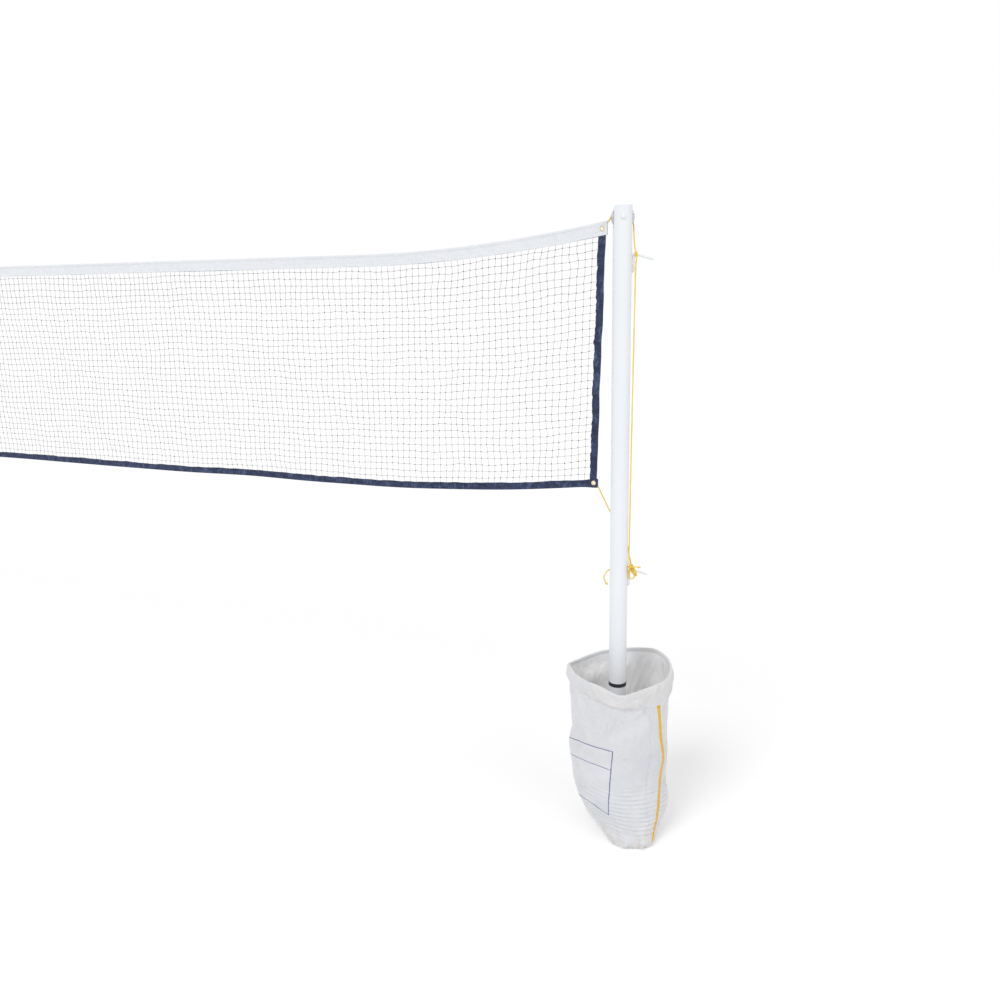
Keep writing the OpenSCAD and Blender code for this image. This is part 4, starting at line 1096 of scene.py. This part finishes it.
def make_sack(side, seed, mat):
    cols = 320
    th = -270 + np.arange(cols) * 360 / cols
    rim_wave = waves(seed + 7, 8, 0.06, 0.4, dims=1)
    low_wave = waves(seed + 8, 10, 0.05, 0.3, dims=1)
    cuff_w = waves(seed + 9, 22, 0.008, 0.05, lean=(1, 0.55))
    cuff_b = waves(seed + 10, 10, 0.03, 0.12)
    turn = 0 if side == "right" else 64
    rim = rim_line(th + turn, 1) + 0.0011 * lapped(rim_wave, th)
    low = rim_line(th + turn, 2) + 0.0010 * lapped(low_wave, th)
    rows, vs = [], []

    def body_row(z, shift):
        return bag(th, z, cloth_shape(th, z, seed) + shift)

    z_low = np.linspace(0.0035, 0.245, 128)
    z_high = np.linspace(0, 1, 62)[1:, None] * (SACK_H + low - 0.247)[None] + 0.246
    first = body_row(np.zeros(cols), 0.0)
    first[:, 2] = 0.0
    centre = np.array([np.mean(first[:, 0]), np.mean(first[:, 1]), 0.0])
    for k in (0.25, 0.5, 0.75, 0.92):
        rows.append(centre + (first - centre) * k)
        vs.append(np.full(cols, -0.05 * (1 - k)))
    base = centre + (first - centre) * 0.985
    rows.append(base)
    vs.append(np.full(cols, 0.0))
    for z in [np.full(cols, k) for k in z_low] + list(z_high):
        p = body_row(z, 0.0)
        p[:, 2] = np.maximum(p[:, 2], 0.0004)
        rows.append(p)
        vs.append(z)
    for o, dz in CUFF:
        depth = max(0.0, -dz / CUFF_H)
        z = SACK_H + rim - (rim - low) * depth if o > 0 else SACK_H + rim + dz
        on = smooth_step(np.array(o), 0.003, 0.009)
        wr = 0.0013 * lapped(cuff_w, th, z) + 0.0015 * lapped(cuff_b, th, z)
        lift = np.maximum(z - SACK_H, 0)
        z = np.minimum(z, SACK_H)
        p = bag(th, z, o + wr * on + cloth_shape(th, z, seed) * 0.75)
        p[:, 2] += lift
        rows.append(p)
        vs.append(np.full(cols, 0.56 + o + dz + CUFF_H))
    for k in np.linspace(0, 1, 78):
        z = SACK_H - 0.0115 - (SACK_H - 0.0115 - 0.315) * k
        p = body_row(np.full(cols, z), -0.0026)
        p[:, 2] += rim * np.clip((z - 0.40) / (SACK_H - 0.40), 0, 1) ** 1.4
        rows.append(p)
        vs.append(np.full(cols, 0.70 + SACK_H - z))
    # under the sand the inner face keeps well inside the creases
    for z in np.linspace(0.30, 0.016, 10):
        rows.append(bag(th, np.full(cols, z), -0.0075))
        vs.append(np.full(cols, 0.70 + SACK_H - z))
    last = rows[-1]
    for k in (0.7, 0.4, 0.15):
        c = centre + [0, 0, 0.008]
        rows.append(c + (last - c) * k * np.array([1, 1, 0]) + [0, 0, 0])
        rows[-1][:, 2] = 0.0085
        vs.append(np.full(cols, 1.3))
    p = np.vstack(rows)
    n = len(rows)
    verts = np.vstack([p, [centre, centre + [0, 0, 0.0085]]])
    verts = to_side(turned_right(verts), side)
    i = np.arange(cols)
    j = (i + 1) % cols
    caps = np.vstack([np.stack([j, i, np.full(cols, n * cols)], -1),
                      np.stack([(n - 1) * cols + i, (n - 1) * cols + j, np.full(cols, n * cols + 1)], -1)])
    uv = np.stack([np.tile(th, n) / 100, np.concatenate(vs)], -1)
    uv = np.vstack([uv, [[0, -0.05], [0, 1.3]]])
    ob = mesh_piece(f"sand_sack_{side}", verts, grid_faces(n, cols, wrap_cols=True), mat,
                    uv=uv, more=[caps])
    layer = ob.data.uv_layers[0].data
    flat = np.empty(len(layer) * 2, np.float32)
    layer.foreach_get("uv", flat)
    quads = flat[:(n - 1) * cols * 8].reshape(-1, 4, 2)
    wide = quads[..., 0].max(1) - quads[..., 0].min(1) > 1.8
    quads[wide, :, 0] += np.where(quads[wide, :, 0] < -0.9, 3.6, 0)
    layer.foreach_set("uv", flat)
    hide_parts(f"sack_{side}")
    return ob


def make_sand(side, seed, mat):
    cols, rings = 280, 84
    th = -270 + np.arange(cols) * 360 / cols
    w1, w2 = waves(seed, 14, 0.03, 0.14), waves(seed + 1, 20, 0.006, 0.03)
    g = np.random.default_rng(seed)
    rows = []

    def inside_cloth(height):
        """Just inside the cloth at this height above the floor."""
        z = height + RIM_TILT / 2 * (height / SACK_H) ** 2 * np.cos(np.radians(th + 90))
        return bag(th, z, cloth_shape(th, z, SACK_SEED[side]) - 0.0038)

    edge = inside_cloth(np.full(cols, 0.324))
    x, y = edge[:, 0], edge[:, 1]
    edge = inside_cloth(0.3235 + 0.0055 * w1(x, y) + 0.0016 * w2(x, y))
    pole =np.stack([0.0275 * np.cos(np.radians(th)), 0.0275 * np.sin(np.radians(th)), np.full(cols, 0.330)], -1)
    for t in np.linspace(0, 1, rings):
        p = pole + (edge - pole) * t
        x, y = p[:, 0], p[:, 1]
        p[:, 2] = (0.3295 + 0.0055 * w1(x, y) + 0.0016 * w2(x, y) + g.normal(0, 0.00035, cols)
                   + 0.006 * bell(np.hypot(x, y) - 0.03, 0.03) - 0.006 * bell(1 - t, 0.12))
        rows.append(p)
    rows.append(inside_cloth(rows[-1][:, 2] - 0.004))
    for z in np.concatenate([np.linspace(0.306, 0.02, 16), [0.0125]]):
        p = bag(th, np.full(cols, z), -0.012)
        p[:, 2] = np.minimum(p[:, 2], rows[-1][:, 2] - 0.0005)
        rows.append(p)
    low = rows[-1]
    hole = 0.0308 * np.stack([np.cos(np.radians(th)), np.sin(np.radians(th)), np.zeros(cols)], -1)
    for t in (0.35, 0.7, 1.0):
        p = low + (hole - low) * t
        p[:, 2] = 0.0125
        rows.append(p)
    for r, z in ((0.0308, 0.0215), (0.0275, 0.0222), (0.0275, 0.15), (0.0275, 0.3)):
        rows.append(np.stack([r * np.cos(np.radians(th)), r * np.sin(np.radians(th)), np.full(cols, z)], -1))
    n = len(rows)
    verts = to_side(turned_right(np.vstack(rows)), side)
    ob = mesh_piece(f"sand_fill_{side}", verts, grid_faces(n, cols, wrap_rows=True, wrap_cols=True), mat)
    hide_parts(f"ballast_sand_{side}")
    return ob


SACK_SEED = {"right": 500, "left": 700}
SAND_MAT = sand_material()
SACK_MAT = {"right": sack_material(True), "left": sack_material(True)}
for where in ("right", "left"):
    make_sand(where, SACK_SEED[where] + 50, SAND_MAT)
    make_sack(where, SACK_SEED[where], SACK_MAT[where])


# ---------------------------------------------------------------- materials of the kept solids

PAINT, ZINC, BLACK, BRASS = paint_material(), zinc_material(), black_material(), brass_material()
finish = {"pole_tube": PAINT, "ground_tube": PAINT, "upper_cleat": PAINT, "lower_cleat": PAINT,
          "pulley_bolt": PAINT, "joint_spigot": ZINC, "pulley_nut": ZINC, "pulley_spacers": ZINC,
          "joint_ring": BLACK, "foot_cap": BLACK, "net_eyelets": BRASS}
wheels = {side: wheel_material(side) for side in ("right", "left")}
for name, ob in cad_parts.items():
    stem, _, side = name.rpartition("_")
    mat = wheels[side] if stem == "pulley_wheel" else finish.get(name) or finish.get(stem)
    if mat is not None:
        ob.data.materials.clear()
        ob.data.materials.append(mat)


# ---------------------------------------------------------------- floor, world and lamps

def make_stage():
    me = bpy.data.meshes.new("floor")
    me.from_pydata([(-60, -60, -0.0005), (60, -60, -0.0005), (60, 60, -0.0005), (-60, 60, -0.0005)], [], [(0, 1, 2, 3)])
    floor = bpy.data.objects.new("floor", me)
    bpy.context.scene.collection.objects.link(floor)
    m = Mat("pale_floor", (0.96, 0.96, 0.96), 0.9, spec=0.0)
    t = m.t
    glow = t.nodes.new("ShaderNodeEmission")
    glow.inputs["Strength"].default_value = FLOOR_GLOW
    dark = t.nodes.new("ShaderNodeEmission")
    dark.inputs["Strength"].default_value = 0.0
    pick = t.nodes.new("ShaderNodeMixShader")
    t.links.new(seen_ray(t), pick.inputs[0])
    t.links.new(dark.outputs[0], pick.inputs[1])
    t.links.new(glow.outputs[0], pick.inputs[2])
    add = t.nodes.new("ShaderNodeAddShader")
    t.links.new(m.b.outputs[0], add.inputs[0])
    t.links.new(pick.outputs[0], add.inputs[1])
    t.links.new(add.outputs[0], t.nodes["Material Output"].inputs["Surface"])
    me.materials.append(m.m)
    world = bpy.data.worlds.new("studio")
    bpy.context.scene.world = world
    world.use_nodes = True
    t = world.node_tree
    light = t.nodes["Background"]
    light.inputs["Color"].default_value = (1.0, 1.0, 1.0, 1)
    light.inputs["Strength"].default_value = WORLD_LIGHT
    seen = t.nodes.new("ShaderNodeBackground")
    seen.inputs["Color"].default_value = (1, 1, 1, 1)
    seen.inputs["Strength"].default_value = 1.0
    mix = t.nodes.new("ShaderNodeMixShader")
    t.links.new(seen_ray(t), mix.inputs[0])
    t.links.new(light.outputs[0], mix.inputs[1])
    t.links.new(seen.outputs[0], mix.inputs[2])
    t.links.new(mix.outputs[0], t.nodes["World Output"].inputs["Surface"])


def seen_ray(t):
    """1 where the camera, or metal and glass, look at the background."""
    path = t.nodes.new("ShaderNodeLightPath")
    top = path.outputs["Is Camera Ray"]
    for key in ("Is Glossy Ray", "Is Transmission Ray"):
        n = t.nodes.new("ShaderNodeMath")
        n.operation = "MAXIMUM"
        t.links.new(top, n.inputs[0])
        t.links.new(path.outputs[key], n.inputs[1])
        top = n.outputs[0]
    return top


def wide_lamp(name, way, level, spread):
    """Soft light of one direction: level is what it adds to a white surface that faces it."""
    data = bpy.data.lights.new(name, "SUN")
    data.energy, data.angle = level * math.pi, math.radians(spread)
    ob = bpy.data.objects.new(name, data)
    bpy.context.scene.collection.objects.link(ob)
    ob.rotation_euler = (-Vector(way)).to_track_quat("-Z", "Y").to_euler()


WORLD_LIGHT, FLOOR_GLOW = 0.66, 0.14
make_stage()
wide_lamp("key_lamp", (-0.20, -0.70, 0.75), 0.30, 26)
wide_lamp("fill_lamp", (0.80, -0.46, 0.34), 0.14, 50)
bpy.context.scene.view_settings.view_transform = "Standard"
